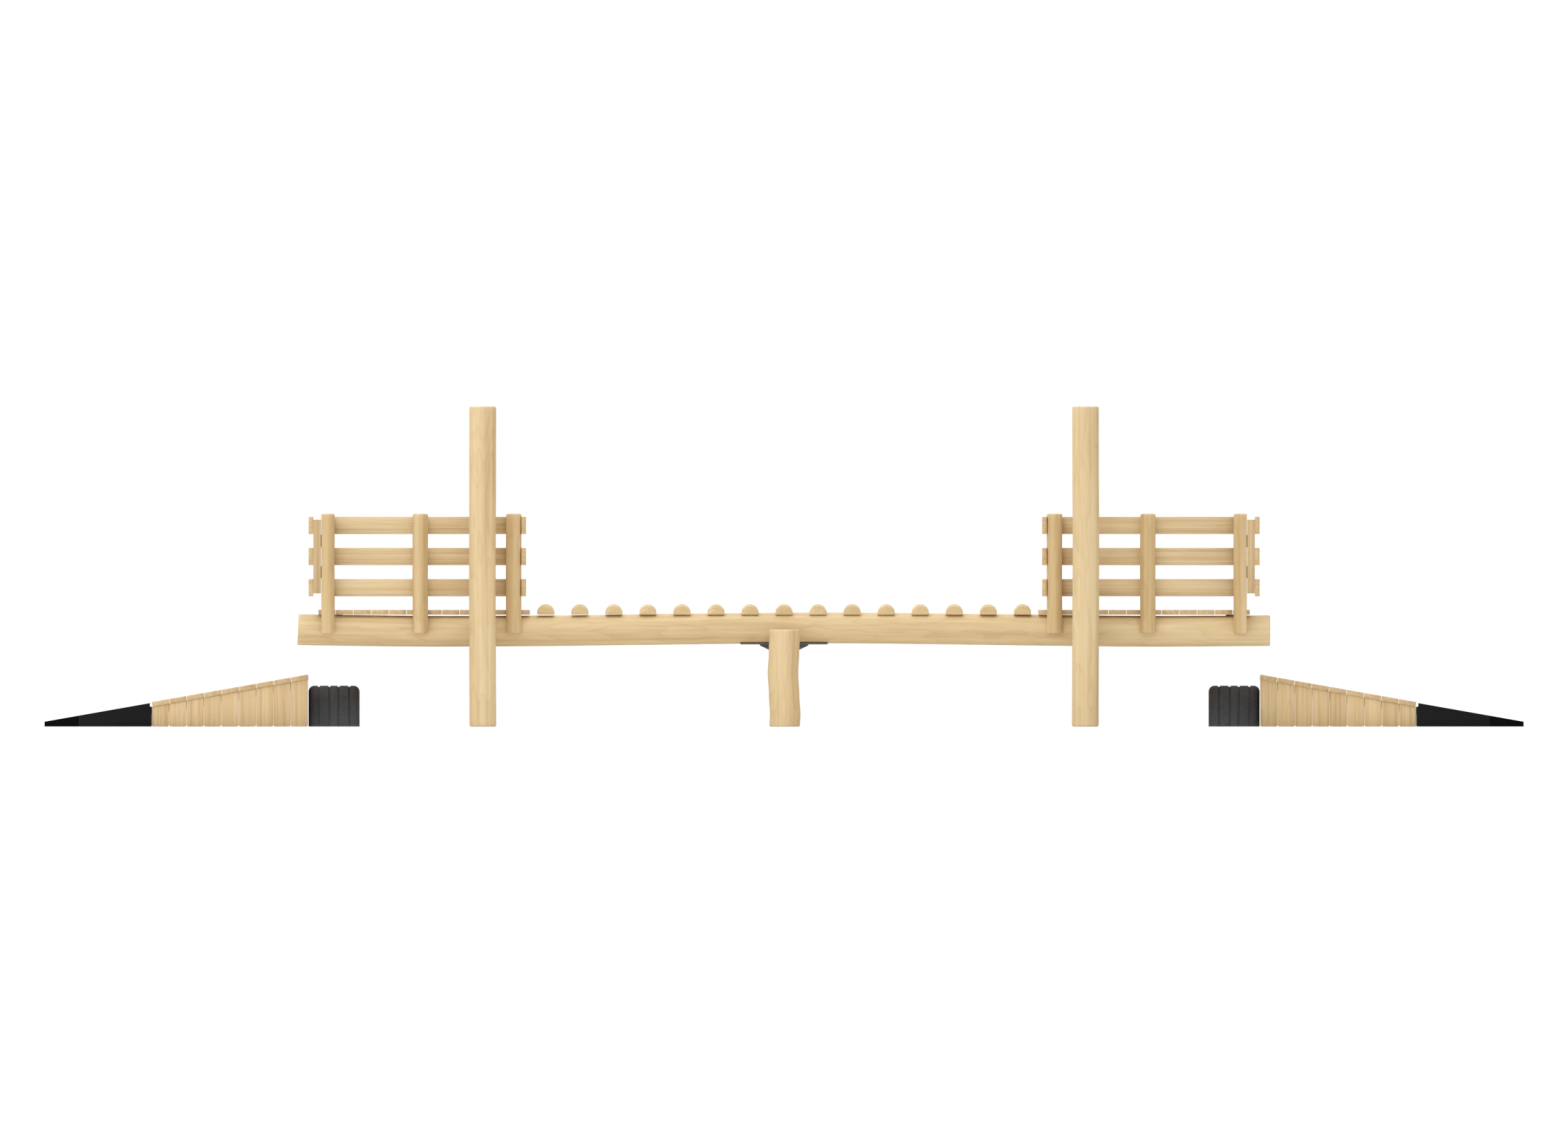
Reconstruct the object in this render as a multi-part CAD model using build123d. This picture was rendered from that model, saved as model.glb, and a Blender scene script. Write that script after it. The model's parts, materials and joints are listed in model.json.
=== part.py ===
from build123d import *
import math
import os

os.makedirs("parts", exist_ok=True)

# A seesaw for wheelchair users, built from round robinia logs. Millimetres.
# +X runs along the logs, the front is -Y and +Z is up. The origin lies on the ground under the axle.
# The left and right ends mirror each other, and so do most pieces of the front and rear.

# ---- Driving sizes ----

# Timber
board_width = 98.0
board_thickness = 27.0
board_gap = 2.5
beam_length = 5526.0
beam_diameter = 174.0
fence_post_diameter = 87.0
grab_post_diameter = 154.0
centre_post_diameter = 174.0
half_log_diameter = 99.0

# Heights
pivot_height = 395.0  # the axle's axis above the ground
axle_drop = 80.0  # from the seat of the brackets in the logs down to the axle's axis
centre_post_rise = 157.0  # from the axle's axis up to the post's top
grab_post_height = 1820.0
fence_post_drop = 22.0  # from the log's axis down to the fence post's foot
fence_height = 547.0  # from the deck up
low_rail_rise = 126.5  # from the deck up to the middle of the lowest rail
rail_pitch = 177.0
rail_count = 3

# Motion
tilt_deg = 8.0

# Logs and what they carry
beam_offset = 630.0  # from the middle plane to each log's axis
log_end_round = 8.0
deck_seat_depth = 2.0  # how deep the boards and half logs are let into the logs
deck_board_count = 12
deck_end_margin = 115.5  # from the deck's outer end to the end of the logs
half_log_flat = 10.5  # from the half log's axis down to its flat
half_log_chamfer = 9.0
half_log_pitch_wanted = 193.0
last_half_log_gap = 89.5  # from the deck's inner end to the last half log's axis
cross_joist_thickness = 45.0
cross_joist_height = 110.0
cross_joist_tenon = 20.0
inner_joist_step = 3  # the half log that the inner cross joists lie under
outer_joist_inset = 113.0  # from the inner fence posts to the outer cross joists
bumper_width = 95.0
bumper_thickness = 38.0
bumper_inset = 89.5  # from the deck's outer end to the middle of the bumper and of the tyre

# Fence and gate
post_let_in = 24.5  # how deep each fence post is scribed over its log
post_end_round = 10.0
inner_post_inset = 93.0
outer_post_inset = 49.0
outer_post_flat = 32.5  # from the outer post's axis to the flat that the gate closes on
grab_post_inset = 177.0  # from the inner fence posts to the grab posts
end_rail_overhang = 30.0
rail_setback = 6.0
batten_width = 60.0
batten_depth = 43.0
batten_setback = 16.5
gate_opening_deg = 100.0

# Hinges and latches, in steel
hinge_height = 70.0
hinge_leaf_width = 38.0
hinge_leaf_thickness = 2.5
knuckle_diameter = 12.0
hinge_pin_diameter = 6.0
latch_bolt_diameter = 12.0
latch_bolt_length = 104.0
latch_travel = 25.0
latch_knob_diameter = 24.0
latch_knob_height = 18.0
latch_housing_height = 50.0
latch_block = 28.0  # the housing's and the keeper tab's length along X
latch_bolt_offset = 14.0  # from the batten's side to the bolt's axis
keeper_strap_height = 20.0
keeper_strap_thickness = 3.0
keeper_tab_thickness = 5.0

# Fulcrum, in steel
axle_diameter = 40.0
axle_in_post = 110.0
bracket_length = 496.0
bracket_width = 84.0
bracket_plate = 8.0
bracket_seat_depth = 11.0
gusset_length = 276.0
gusset_edge = 6.0
gusset_thickness = 8.0
gusset_spacing = 52.0
bearing_housing_diameter = 70.0
bush_diameter = 52.0
bush_flange_diameter = 62.0
bush_flange = 4.0
collar_diameter = 70.0
collar_width = 18.0

# Buffer tyres, half buried
tyre_diameter = 1050.0
tyre_width = 290.0
tyre_shoulder = 33.0
tyre_tread = 35.0
tyre_sidewall = 18.0
tyre_rim_diameter = 571.0
tread_groove_width = 10.0
tread_groove_depth = 6.0
tread_groove_places = (-85.0, -27.0, 27.0, 85.0)

# Ramps
ramp_slope_deg = 10.0
ramp_foot_height = 139.2  # where the timber ends and the rubber begins
ramp_lip = 4.0  # how far the ramp's top stands above the lowered deck
ramp_gap = 47.0  # from the lowered deck's edge to the ramp
ramp_overhang = 5.0
ramp_side_chamfer = 6.0
stringer_width = 45.0
stringer_depth = 45.0
stringer_setback = 12.0
stringer_leg_width = 60.0
wedge_tip_height = 28.0
wedge_step = 3.8  # how far the rubber lies below the timber ramp
wedge_notch_width = 10.0
wedge_notch_depth = 20.0
toe_length = 194.0

# Fasteners
screw_diameter = 6.0
screw_head_diameter = 12.0
screw_head_height = 5.0
screw_length = 65.0
step_screw_length = 120.0
bracket_screw_length = 70.0
post_bolt_diameter = 12.0
post_bolt_head = 19.0  # across the flats
post_bolt_head_height = 8.0
post_bolt_drops = (50.0, 88.0)  # below the deck seat
screw_pair_spacing = 50.0

# Clearances
side_clearance = 24.0  # between the rocker and the fixed posts beside it
ramp_clearance = 33.0  # between the logs and the ramp's side
deck_clearance = 2.5
gate_gap = 2.0
scribe_gap = 0.3
seat_gap = 0.5
running_gap = 0.05
axle_seat_gap = 0.2
thrust_gap = 1.0
knuckle_gap = 1.0
buffer_gap = 1.0
latch_gap = 2.0
bolt_gap = 0.1

# ---- Derived sizes ----

beam_radius = beam_diameter / 2
post_radius = fence_post_diameter / 2
bracket_seat_height = pivot_height + axle_drop
beam_axis_height = bracket_seat_height - bracket_seat_depth + beam_radius
deck_seat_height = beam_axis_height + beam_radius - deck_seat_depth  # underside of boards and half logs

deck_pitch = board_width + board_gap
deck_length = deck_board_count * deck_pitch - board_gap
deck_outer_end = beam_length / 2 - deck_end_margin
deck_inner_end = deck_outer_end - deck_length
deck_top = deck_seat_height + board_thickness
fence_post_foot = beam_axis_height - fence_post_drop
fence_post_top = deck_top + fence_height
centre_post_height = pivot_height + centre_post_rise

post_row = beam_offset + beam_radius + post_radius - post_let_in
deck_half_width = post_row - post_radius - deck_clearance
inner_post = deck_inner_end + inner_post_inset
outer_post = deck_outer_end - outer_post_inset
post_places = (inner_post, (inner_post + outer_post) / 2, outer_post)
gate_face = outer_post + outer_post_flat
batten_face = gate_face + gate_gap
gate_board_face = batten_face + batten_depth
rail_heights = [deck_top + low_rail_rise + i * rail_pitch for i in range(rail_count)]
rail_gap_heights = [z + rail_pitch / 2 for z in rail_heights[:-1]]
rail_face = post_row - post_radius

centre_post_row = beam_offset + beam_radius + side_clearance + centre_post_diameter / 2
grab_post_row = post_row + post_radius + side_clearance + grab_post_diameter / 2
grab_post_place = inner_post + grab_post_inset

half_log_run = deck_inner_end - last_half_log_gap
half_logs_each_side = round(half_log_run / half_log_pitch_wanted)
half_log_pitch = half_log_run / half_logs_each_side
half_log_places = [i * half_log_pitch for i in range(-half_logs_each_side, half_logs_each_side + 1)]
half_log_axis_height = deck_seat_height + half_log_flat
cross_joist_places = (inner_joist_step * half_log_pitch, inner_post + outer_joist_inset)


def lowered(x, z):
    """Where a point of the right end goes when that end is down."""
    turn = math.radians(tilt_deg)
    rise = z - pivot_height
    return (
        x * math.cos(turn) + rise * math.sin(turn),
        pivot_height + rise * math.cos(turn) - x * math.sin(turn),
    )


bumper_place = deck_outer_end - bumper_inset
bumper_corner = lowered(bumper_place + bumper_width / 2, deck_seat_height - bumper_thickness)
tyre_top = bumper_corner[1] - buffer_gap
tyre_axis_height = tyre_top - tyre_diameter / 2

lowered_deck = lowered(deck_outer_end, deck_top)
slope = math.radians(ramp_slope_deg)
ramp_top_place = lowered_deck[0] + ramp_gap
ramp_top_height = lowered_deck[1] + ramp_lip
ramp_run = (ramp_top_height - ramp_foot_height) / math.tan(slope)
ramp_foot_place = ramp_top_place + ramp_run
ramp_half_width = beam_offset - beam_radius - ramp_clearance
ramp_side_face = ramp_half_width - ramp_overhang
ramp_board_count = round(ramp_run / math.cos(slope) / deck_pitch)
stringer_leg_boards = (ramp_board_count // 4, ramp_board_count - 1 - ramp_board_count // 4)
wedge_top = ramp_foot_height - wedge_step
wedge_tip_place = ramp_foot_place + (wedge_top - wedge_tip_height) / math.tan(slope)

hinge_axis_place = (gate_face + batten_face) / 2
knuckle_reach = post_radius + knuckle_diameter / 2 + knuckle_gap
hinge_axis_row = post_row + math.sqrt(knuckle_reach ** 2 - (hinge_axis_place - outer_post) ** 2)
gate_half_width = hinge_axis_row - knuckle_diameter / 2 - knuckle_gap
batten_row = gate_half_width - batten_width / 2
latch_place = batten_face + batten_depth / 2
latch_row = gate_half_width - batten_width - latch_bolt_offset
keeper_top = rail_gap_heights[-1] + keeper_strap_height / 2


# ---- Helpers ----

def box_between(xs, ys, zs):
    size = [high - low for low, high in (xs, ys, zs)]
    middle = [(high + low) / 2 for low, high in (xs, ys, zs)]
    return Pos(*middle) * Box(*size)


def prism(outline, y_low, y_high):
    """A solid with an outline in X and Z, from one Y to another."""
    wire = Polyline([(x, y_low, z) for x, z in outline], close=True)
    return extrude(make_face(wire), amount=y_high - y_low, dir=(0, 1, 0))


def rod_along_x(radius, length):
    return Rot(0, 90, 0) * Cylinder(radius, length)


def rod_along_y(radius, length):
    return Rot(90, 0, 0) * Cylinder(radius, length)


def ring_edges(shape):
    return shape.edges().filter_by(GeomType.CIRCLE)


def to_left(solids):
    return [mirror(solid, about=Plane.YZ) for solid in solids]


def to_front(solids):
    return [mirror(solid, about=Plane.XZ) for solid in solids]


def both_ends(solids):
    return solids + to_left(solids)


def save(name, solids):
    pieces = [piece for solid in solids for piece in solid.solids()]
    export_step(pieces[0] if len(pieces) == 1 else Compound(pieces), f"parts/{name}.step")


def wood_screw(length):
    """A countersunk screw whose head is flush with Z = 0 and whose point is down."""
    head = Cone(screw_diameter / 2, screw_head_diameter / 2, screw_head_height)
    shank_length = length - screw_head_height
    shank = Cylinder(screw_diameter / 2, shank_length)
    return Pos(0, 0, -screw_head_height / 2) * head + Pos(0, 0, -screw_head_height - shank_length / 2) * shank


short_screw = wood_screw(screw_length)
screw_pair = (-screw_pair_spacing / 2, screw_pair_spacing / 2)


# ---- Fixed posts ----

def make_posts():
    grab = Cylinder(grab_post_diameter / 2, grab_post_height)
    grab = Pos(0, 0, grab_post_height / 2) * fillet(ring_edges(grab).sort_by(Axis.Z)[-1:], post_end_round)
    for side, row in (("front", -grab_post_row), ("rear", grab_post_row)):
        save(f"grab_post_{side}_left", [Pos(-grab_post_place, row, 0) * grab])
        save(f"grab_post_{side}_right", [Pos(grab_post_place, row, 0) * grab])

    centre = Cylinder(centre_post_diameter / 2, centre_post_height)
    centre = fillet(ring_edges(centre).sort_by(Axis.Z)[-1:], post_end_round)
    centre = Pos(0, centre_post_row, centre_post_height / 2) * centre
    axle_hole_end = centre_post_row - centre_post_diameter / 2 + axle_in_post + thrust_gap
    hole = Pos(0, axle_hole_end / 2, pivot_height) * rod_along_y(axle_diameter / 2 + axle_seat_gap, axle_hole_end)
    centre = centre - hole
    save("centre_post_rear", [centre])
    save("centre_post_front", to_front([centre]))


# ---- Fulcrum ----

def make_fulcrum():
    axle_half = centre_post_row - centre_post_diameter / 2 + axle_in_post
    save("axle", [Pos(0, 0, pivot_height) * rod_along_y(axle_diameter / 2, 2 * axle_half)])

    housing_half = bracket_width / 2
    collar = rod_along_y(collar_diameter / 2, collar_width)
    collar = collar - rod_along_y(axle_diameter / 2 + running_gap, collar_width)
    collar_shift = housing_half + bush_flange + thrust_gap + collar_width / 2
    collars = [
        Pos(0, row + shift, pivot_height) * collar
        for row in (-beam_offset, beam_offset)
        for shift in (-collar_shift, collar_shift)
    ]
    save("axle_collars", collars)

    plate_bottom = bracket_seat_height - bracket_plate
    half_length = bracket_length / 2
    plate = box_between(
        (-half_length, half_length), (-housing_half, housing_half), (plate_bottom, bracket_seat_height))
    housing_radius = bearing_housing_diameter / 2
    housing = Pos(0, 0, pivot_height) * rod_along_y(housing_radius, bracket_width)
    edge = gusset_length / 2
    waist = housing_radius * 0.85
    waist_height = pivot_height + housing_radius * 0.4
    outline = [
        (-edge, plate_bottom),
        (edge, plate_bottom),
        (edge, plate_bottom - gusset_edge),
        (waist, waist_height),
        (-waist, waist_height),
        (-edge, plate_bottom - gusset_edge),
    ]
    bracket = plate + housing
    for middle in (-gusset_spacing / 2, gusset_spacing / 2):
        bracket += prism(outline, middle - gusset_thickness / 2, middle + gusset_thickness / 2)
    bracket -= Pos(0, 0, pivot_height) * rod_along_y(bush_diameter / 2, bracket_width)
    save("pivot_bracket_front", [Pos(0, -beam_offset, 0) * bracket])
    save("pivot_bracket_rear", [Pos(0, beam_offset, 0) * bracket])

    sleeve_length = housing_half - thrust_gap
    sleeve = Pos(0, housing_half - sleeve_length / 2, 0) * rod_along_y(bush_diameter / 2, sleeve_length)
    flange = Pos(0, housing_half + bush_flange / 2, 0) * rod_along_y(bush_flange_diameter / 2, bush_flange)
    bush = sleeve + flange - rod_along_y(axle_diameter / 2 + running_gap, 2 * bracket_width)
    bushes = [
        Pos(0, row, pivot_height) * piece
        for row in (-beam_offset, beam_offset)
        for piece in [bush] + to_front([bush])
    ]
    save("bearing_bushes", bushes)

    screw = Rot(180, 0, 0) * wood_screw(bracket_screw_length)
    screw_shift = (half_length + edge) / 2
    screws = [
        Pos(x, row, plate_bottom) * screw
        for row in (-beam_offset, beam_offset)
        for x in (-screw_shift - screw_pair[1] / 2, -screw_shift + screw_pair[1] / 2,
                  screw_shift - screw_pair[1] / 2, screw_shift + screw_pair[1] / 2)
    ]
    save("bracket_screws", screws)


# ---- Logs of the rocker and what lies on them ----

def half_log_chord():
    return 2 * math.sqrt((half_log_diameter / 2) ** 2 - half_log_flat ** 2)


def make_beams():
    beam = rod_along_x(beam_radius, beam_length)
    beam = Pos(0, beam_offset, beam_axis_height) * fillet(ring_edges(beam), log_end_round)
    across = (beam_offset - beam_radius, beam_offset + beam_radius)
    above = (deck_seat_height, deck_seat_height + beam_radius)
    for end in (-1, 1):
        ends = sorted((end * (deck_inner_end - seat_gap), end * (deck_outer_end + seat_gap)))
        beam -= box_between(ends, across, above)
    seat_half = half_log_chord() / 2 + seat_gap
    for x in half_log_places:
        beam -= box_between((x - seat_half, x + seat_half), across, above)
    bracket_half = bracket_length / 2 + seat_gap
    beam -= box_between(
        (-bracket_half, bracket_half), across, (bracket_seat_height - beam_radius, bracket_seat_height))
    for joist in cross_joists():
        beam -= joist
    save("beam_rear", [beam])
    save("beam_front", to_front([beam]))


def cross_joists():
    half_length = beam_offset - beam_radius + cross_joist_tenon
    low = beam_axis_height - cross_joist_height / 2
    joist = box_between(
        (-cross_joist_thickness / 2, cross_joist_thickness / 2),
        (-half_length, half_length),
        (low, low + cross_joist_height),
    )
    return [Pos(x, 0, 0) * joist for place in cross_joist_places for x in (-place, place)]


def bumper_joist():
    half_length = beam_offset - beam_radius - deck_clearance
    return box_between(
        (bumper_place - bumper_width / 2, bumper_place + bumper_width / 2),
        (-half_length, half_length),
        (deck_seat_height - bumper_thickness, deck_seat_height),
    )


def make_steps():
    log = rod_along_y(half_log_diameter / 2, 2 * deck_half_width)
    keep = box_between(
        (-half_log_diameter, half_log_diameter),
        (-deck_half_width, deck_half_width),
        (-half_log_flat, half_log_diameter),
    )
    log = log & keep
    log = chamfer(ring_edges(log), half_log_chamfer)
    save("half_log_steps", [Pos(x, 0, half_log_axis_height) * log for x in half_log_places])

    head_height = half_log_axis_height + half_log_diameter / 2 - 1
    screw = wood_screw(step_screw_length)
    screws = [Pos(x, row, head_height) * screw for x in half_log_places for row in (-beam_offset, beam_offset)]
    save("step_screws", screws)


def make_decks():
    board = box_between((0, board_width), (-deck_half_width, deck_half_width), (deck_seat_height, deck_top))
    starts = [deck_inner_end + i * deck_pitch for i in range(deck_board_count)]
    boards = [Pos(x, 0, 0) * board for x in starts]
    save("deck_boards_right", boards)
    save("deck_boards_left", to_left(boards))
    save("bumper_joists", both_ends([bumper_joist()]))
    save("cross_joists", cross_joists())

    screws = [
        Pos(x + board_width / 2 + shift, row, deck_top) * short_screw
        for x in starts
        for shift in screw_pair
        for row in (-beam_offset, beam_offset)
    ]
    bumper_rows = (-beam_offset * 0.65, 0, beam_offset * 0.65)
    bumper_screw = wood_screw(board_thickness + bumper_thickness * 0.8)
    screws += [
        Pos(bumper_place + shift, row, deck_top) * bumper_screw
        for shift in screw_pair
        for row in bumper_rows
    ]
    save("deck_screws", both_ends(screws))


# ---- Fence ----

def make_fence():
    post = Cylinder(post_radius, fence_post_top - fence_post_foot)
    post = fillet(ring_edges(post), post_end_round)
    post = Pos(0, 0, (fence_post_top + fence_post_foot) / 2) * post
    log = Pos(0, beam_offset, beam_axis_height) * rod_along_x(beam_radius + scribe_gap, 2 * beam_length)
    rear = [Pos(x, post_row, 0) * post - log for x in post_places]
    heights = (fence_post_foot, fence_post_top)
    beyond_flat = box_between(
        (gate_face, gate_face + post_radius), (post_row - post_radius, post_row + post_radius), heights)
    outer_rear = rear[-1] - beyond_flat
    outer_front = to_front([outer_rear])
    for leaf in hinge_leaves("post"):
        outer_rear -= leaf
    posts = rear[:-1] + [outer_rear] + to_front(rear[:-1]) + outer_front
    save("fence_posts_right", posts)
    save("fence_posts_left", to_left(posts))

    half = board_width / 2
    rails = [
        box_between((inner_post - post_radius, gate_face - rail_setback),
                    (rail_face - board_thickness, rail_face), (z - half, z + half))
        for z in rail_heights
    ]
    save("side_rails_rear_right", rails)
    save("side_rails_rear_left", to_left(rails))
    save("side_rails_front_right", to_front(rails))
    save("side_rails_front_left", to_left(to_front(rails)))

    end_rail_face = inner_post - post_radius - board_thickness
    end_rail_half = post_row + end_rail_overhang
    end_rails = [
        box_between((end_rail_face, end_rail_face + board_thickness),
                    (-end_rail_half, end_rail_half), (z - half, z + half))
        for z in rail_heights
    ]
    save("end_rails_right", end_rails)
    save("end_rails_left", to_left(end_rails))

    outward = Rot(90, 0, 0) * short_screw
    rail_screws = [
        Pos(x, rail_face - board_thickness, z + shift) * outward
        for x in post_places
        for z in rail_heights
        for shift in screw_pair
    ]
    along = Rot(0, -90, 0) * short_screw
    end_screws = [
        Pos(end_rail_face, post_row, z + shift) * along
        for z in rail_heights
        for shift in screw_pair
    ]
    rear_screws = rail_screws + end_screws
    save("fence_screws", both_ends(rear_screws + to_front(rear_screws)))


def make_post_bolts():
    """Hex bolts from the inner side of each log into the fence posts."""
    head = extrude(RegularPolygon(post_bolt_head / 2, 6, major_radius=False), amount=post_bolt_head_height)
    bolts = []
    for drop in post_bolt_drops:
        height = deck_seat_height - drop
        rise = height - beam_axis_height
        start = beam_offset - math.sqrt(beam_radius ** 2 - rise ** 2)
        length = post_row - start
        shank = Pos(0, 0, length / 2) * Cylinder(post_bolt_diameter / 2, length)
        bolt = shank + Pos(0, 0, -post_bolt_head_height) * head
        bolts += [Pos(x, start, height) * Rot(-90, 0, 0) * bolt for x in post_places]
    save("post_bolts", both_ends(bolts + to_front(bolts)))


# ---- Gates ----

def hinge_leaf_plates(side):
    """The flat part of each leaf, let into the post's flat or into the batten."""
    if side == "post":
        depth = (gate_face - hinge_leaf_thickness, gate_face)
    else:
        depth = (batten_face, batten_face + hinge_leaf_thickness)
    half = hinge_height / 2
    return [
        box_between(depth, (gate_half_width - hinge_leaf_width, gate_half_width), (z - half, z + half))
        for z in rail_gap_heights
    ]


def hinge_leaves(side):
    """Each leaf with its knuckles: the outer two on the post, the middle one on the gate."""
    knuckle_length = (hinge_height - 2 * knuckle_gap) / 3
    if side == "post":
        shifts = (-knuckle_length - knuckle_gap, knuckle_length + knuckle_gap)
        depth = (gate_face - hinge_leaf_thickness, gate_face)
    else:
        shifts = (0,)
        depth = (batten_face, batten_face + hinge_leaf_thickness)
    knuckle = Cylinder(knuckle_diameter / 2, knuckle_length)
    pin_hole = Cylinder(hinge_pin_diameter / 2 + running_gap, hinge_height)
    web_end = hinge_axis_row - hinge_pin_diameter / 2 - knuckle_gap
    leaves = []
    for z, plate in zip(rail_gap_heights, hinge_leaf_plates(side)):
        leaf = plate
        for shift in shifts:
            half = knuckle_length / 2
            leaf += box_between(depth, (gate_half_width, web_end), (z + shift - half, z + shift + half))
            leaf += Pos(hinge_axis_place, hinge_axis_row, z + shift) * knuckle
        leaves.append(leaf - Pos(hinge_axis_place, hinge_axis_row, z) * pin_hole)
    return leaves


def make_gates():
    half = board_width / 2
    boards = [
        box_between((gate_board_face, gate_board_face + board_thickness),
                    (-gate_half_width, gate_half_width), (z - half, z + half))
        for z in rail_heights
    ]
    save("gate_boards_right", boards)
    save("gate_boards_left", to_left(boards))

    batten_low = rail_heights[0] - half + batten_setback
    batten_high = rail_heights[-1] + half - batten_setback
    battens = [
        box_between((batten_face, gate_board_face), (y - batten_width / 2, y + batten_width / 2),
                    (batten_low, batten_high))
        for y in (-batten_row, 0, batten_row)
    ]
    for leaf in hinge_leaf_plates("gate"):
        battens[-1] -= leaf
    save("gate_battens_right", battens)
    save("gate_battens_left", to_left(battens))

    inward = Pos(gate_board_face + board_thickness, 0, 0) * Rot(0, 90, 0) * wood_screw(screw_length - 1)
    screws = [
        Pos(0, y, z + shift) * inward
        for y in (-batten_row, 0, batten_row)
        for z in rail_heights
        for shift in (-half / 2, half / 2)
    ]
    save("gate_screws_right", screws)
    save("gate_screws_left", to_left(screws))


def make_hinges():
    gate_leaves = hinge_leaves("gate")
    save("gate_hinge_leaves_right", gate_leaves)
    save("gate_hinge_leaves_left", to_left(gate_leaves))
    save("post_hinge_leaves", both_ends(hinge_leaves("post")))
    pin = Cylinder(hinge_pin_diameter / 2, hinge_height)
    save("hinge_pins", both_ends([Pos(hinge_axis_place, hinge_axis_row, z) * pin for z in rail_gap_heights]))


def make_latches():
    batten_side = -batten_row + batten_width / 2
    block_half = latch_block / 2
    block = (latch_place - block_half, latch_place + block_half)
    bolt_radius = latch_bolt_diameter / 2
    axis = (latch_place, -latch_row)

    housing_low = keeper_top + latch_gap
    housing_high = housing_low + latch_housing_height
    housing_depth = latch_bolt_offset + bolt_radius + keeper_tab_thickness
    housing = box_between(block, (batten_side, batten_side + housing_depth), (housing_low, housing_high))
    bore = Pos(*axis, (housing_low + housing_high) / 2) * Cylinder(bolt_radius + bolt_gap, latch_housing_height)
    housing = housing - bore
    save("latch_housing_right", [housing])
    save("latch_housing_left", to_left([housing]))

    # The bolt is drawn back at rest, with its tip level with the housing's foot.
    bolt = Pos(*axis, housing_low + latch_bolt_length / 2) * Cylinder(bolt_radius, latch_bolt_length)
    knob_low = housing_high + latch_travel + latch_gap
    bolt += Pos(*axis, knob_low + latch_knob_height / 2) * Cylinder(latch_knob_diameter / 2, latch_knob_height)
    bolt = chamfer(ring_edges(bolt).sort_by(Axis.Z)[:1], 1.5)
    save("latch_bolt_right", [bolt])
    save("latch_bolt_left", to_left([bolt]))

    strap = box_between(
        (outer_post - post_radius / 3, block[0] + keeper_strap_thickness),
        (-rail_face, -rail_face + keeper_strap_thickness),
        (keeper_top - keeper_strap_height, keeper_top),
    )
    tab_half = latch_bolt_offset - latch_gap
    tab_end = max(tab_half - latch_row, keeper_strap_thickness - rail_face)
    tab = box_between(block, (-latch_row - tab_half, tab_end), (keeper_top - keeper_tab_thickness, keeper_top))
    hole = Pos(*axis, keeper_top - keeper_tab_thickness / 2) * Cylinder(bolt_radius + 1, keeper_tab_thickness)
    save("latch_keepers", both_ends([strap + tab - hole]))


# ---- Buffer tyres ----

def make_tyres():
    radius = tyre_diameter / 2
    tyre = rod_along_x(radius, tyre_width)
    tyre = fillet(ring_edges(tyre), tyre_shoulder)
    for place in tread_groove_places:
        groove = rod_along_x(radius + 1, tread_groove_width)
        groove -= rod_along_x(radius - tread_groove_depth, tread_groove_width)
        tyre -= Pos(place, 0, 0) * groove
    cavity = rod_along_x(radius - tyre_tread, tyre_width - 2 * tyre_sidewall)
    tyre -= fillet(ring_edges(cavity), tyre_shoulder)
    tyre -= rod_along_x(tyre_rim_diameter / 2, tyre_width)
    tyre = Pos(bumper_place, 0, tyre_axis_height) * tyre
    above_ground = box_between(
        (bumper_place - tyre_width, bumper_place + tyre_width), (-radius, radius), (0, radius))
    tyre = tyre & above_ground
    save("buffer_tyre_right", [tyre])
    save("buffer_tyre_left", to_left([tyre]))


# ---- Ramps ----

def ramp_height(x):
    """The ramp's top surface."""
    return ramp_top_height - (x - ramp_top_place) * math.tan(slope)


def ramp_underside(x):
    return ramp_height(x) - board_thickness / math.cos(slope)


def wedge_height(x):
    return wedge_top - (x - ramp_foot_place) * math.tan(slope)


def ramp_stringer(y, setback):
    start = ramp_top_place + setback
    end = ramp_foot_place
    outline = [
        (start, ramp_underside(start)),
        (end, ramp_underside(end)),
        (end, ramp_underside(end) - stringer_depth),
        (start, ramp_underside(start) - stringer_depth),
    ]
    return prism(outline, y - stringer_width / 2, y + stringer_width / 2)


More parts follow.
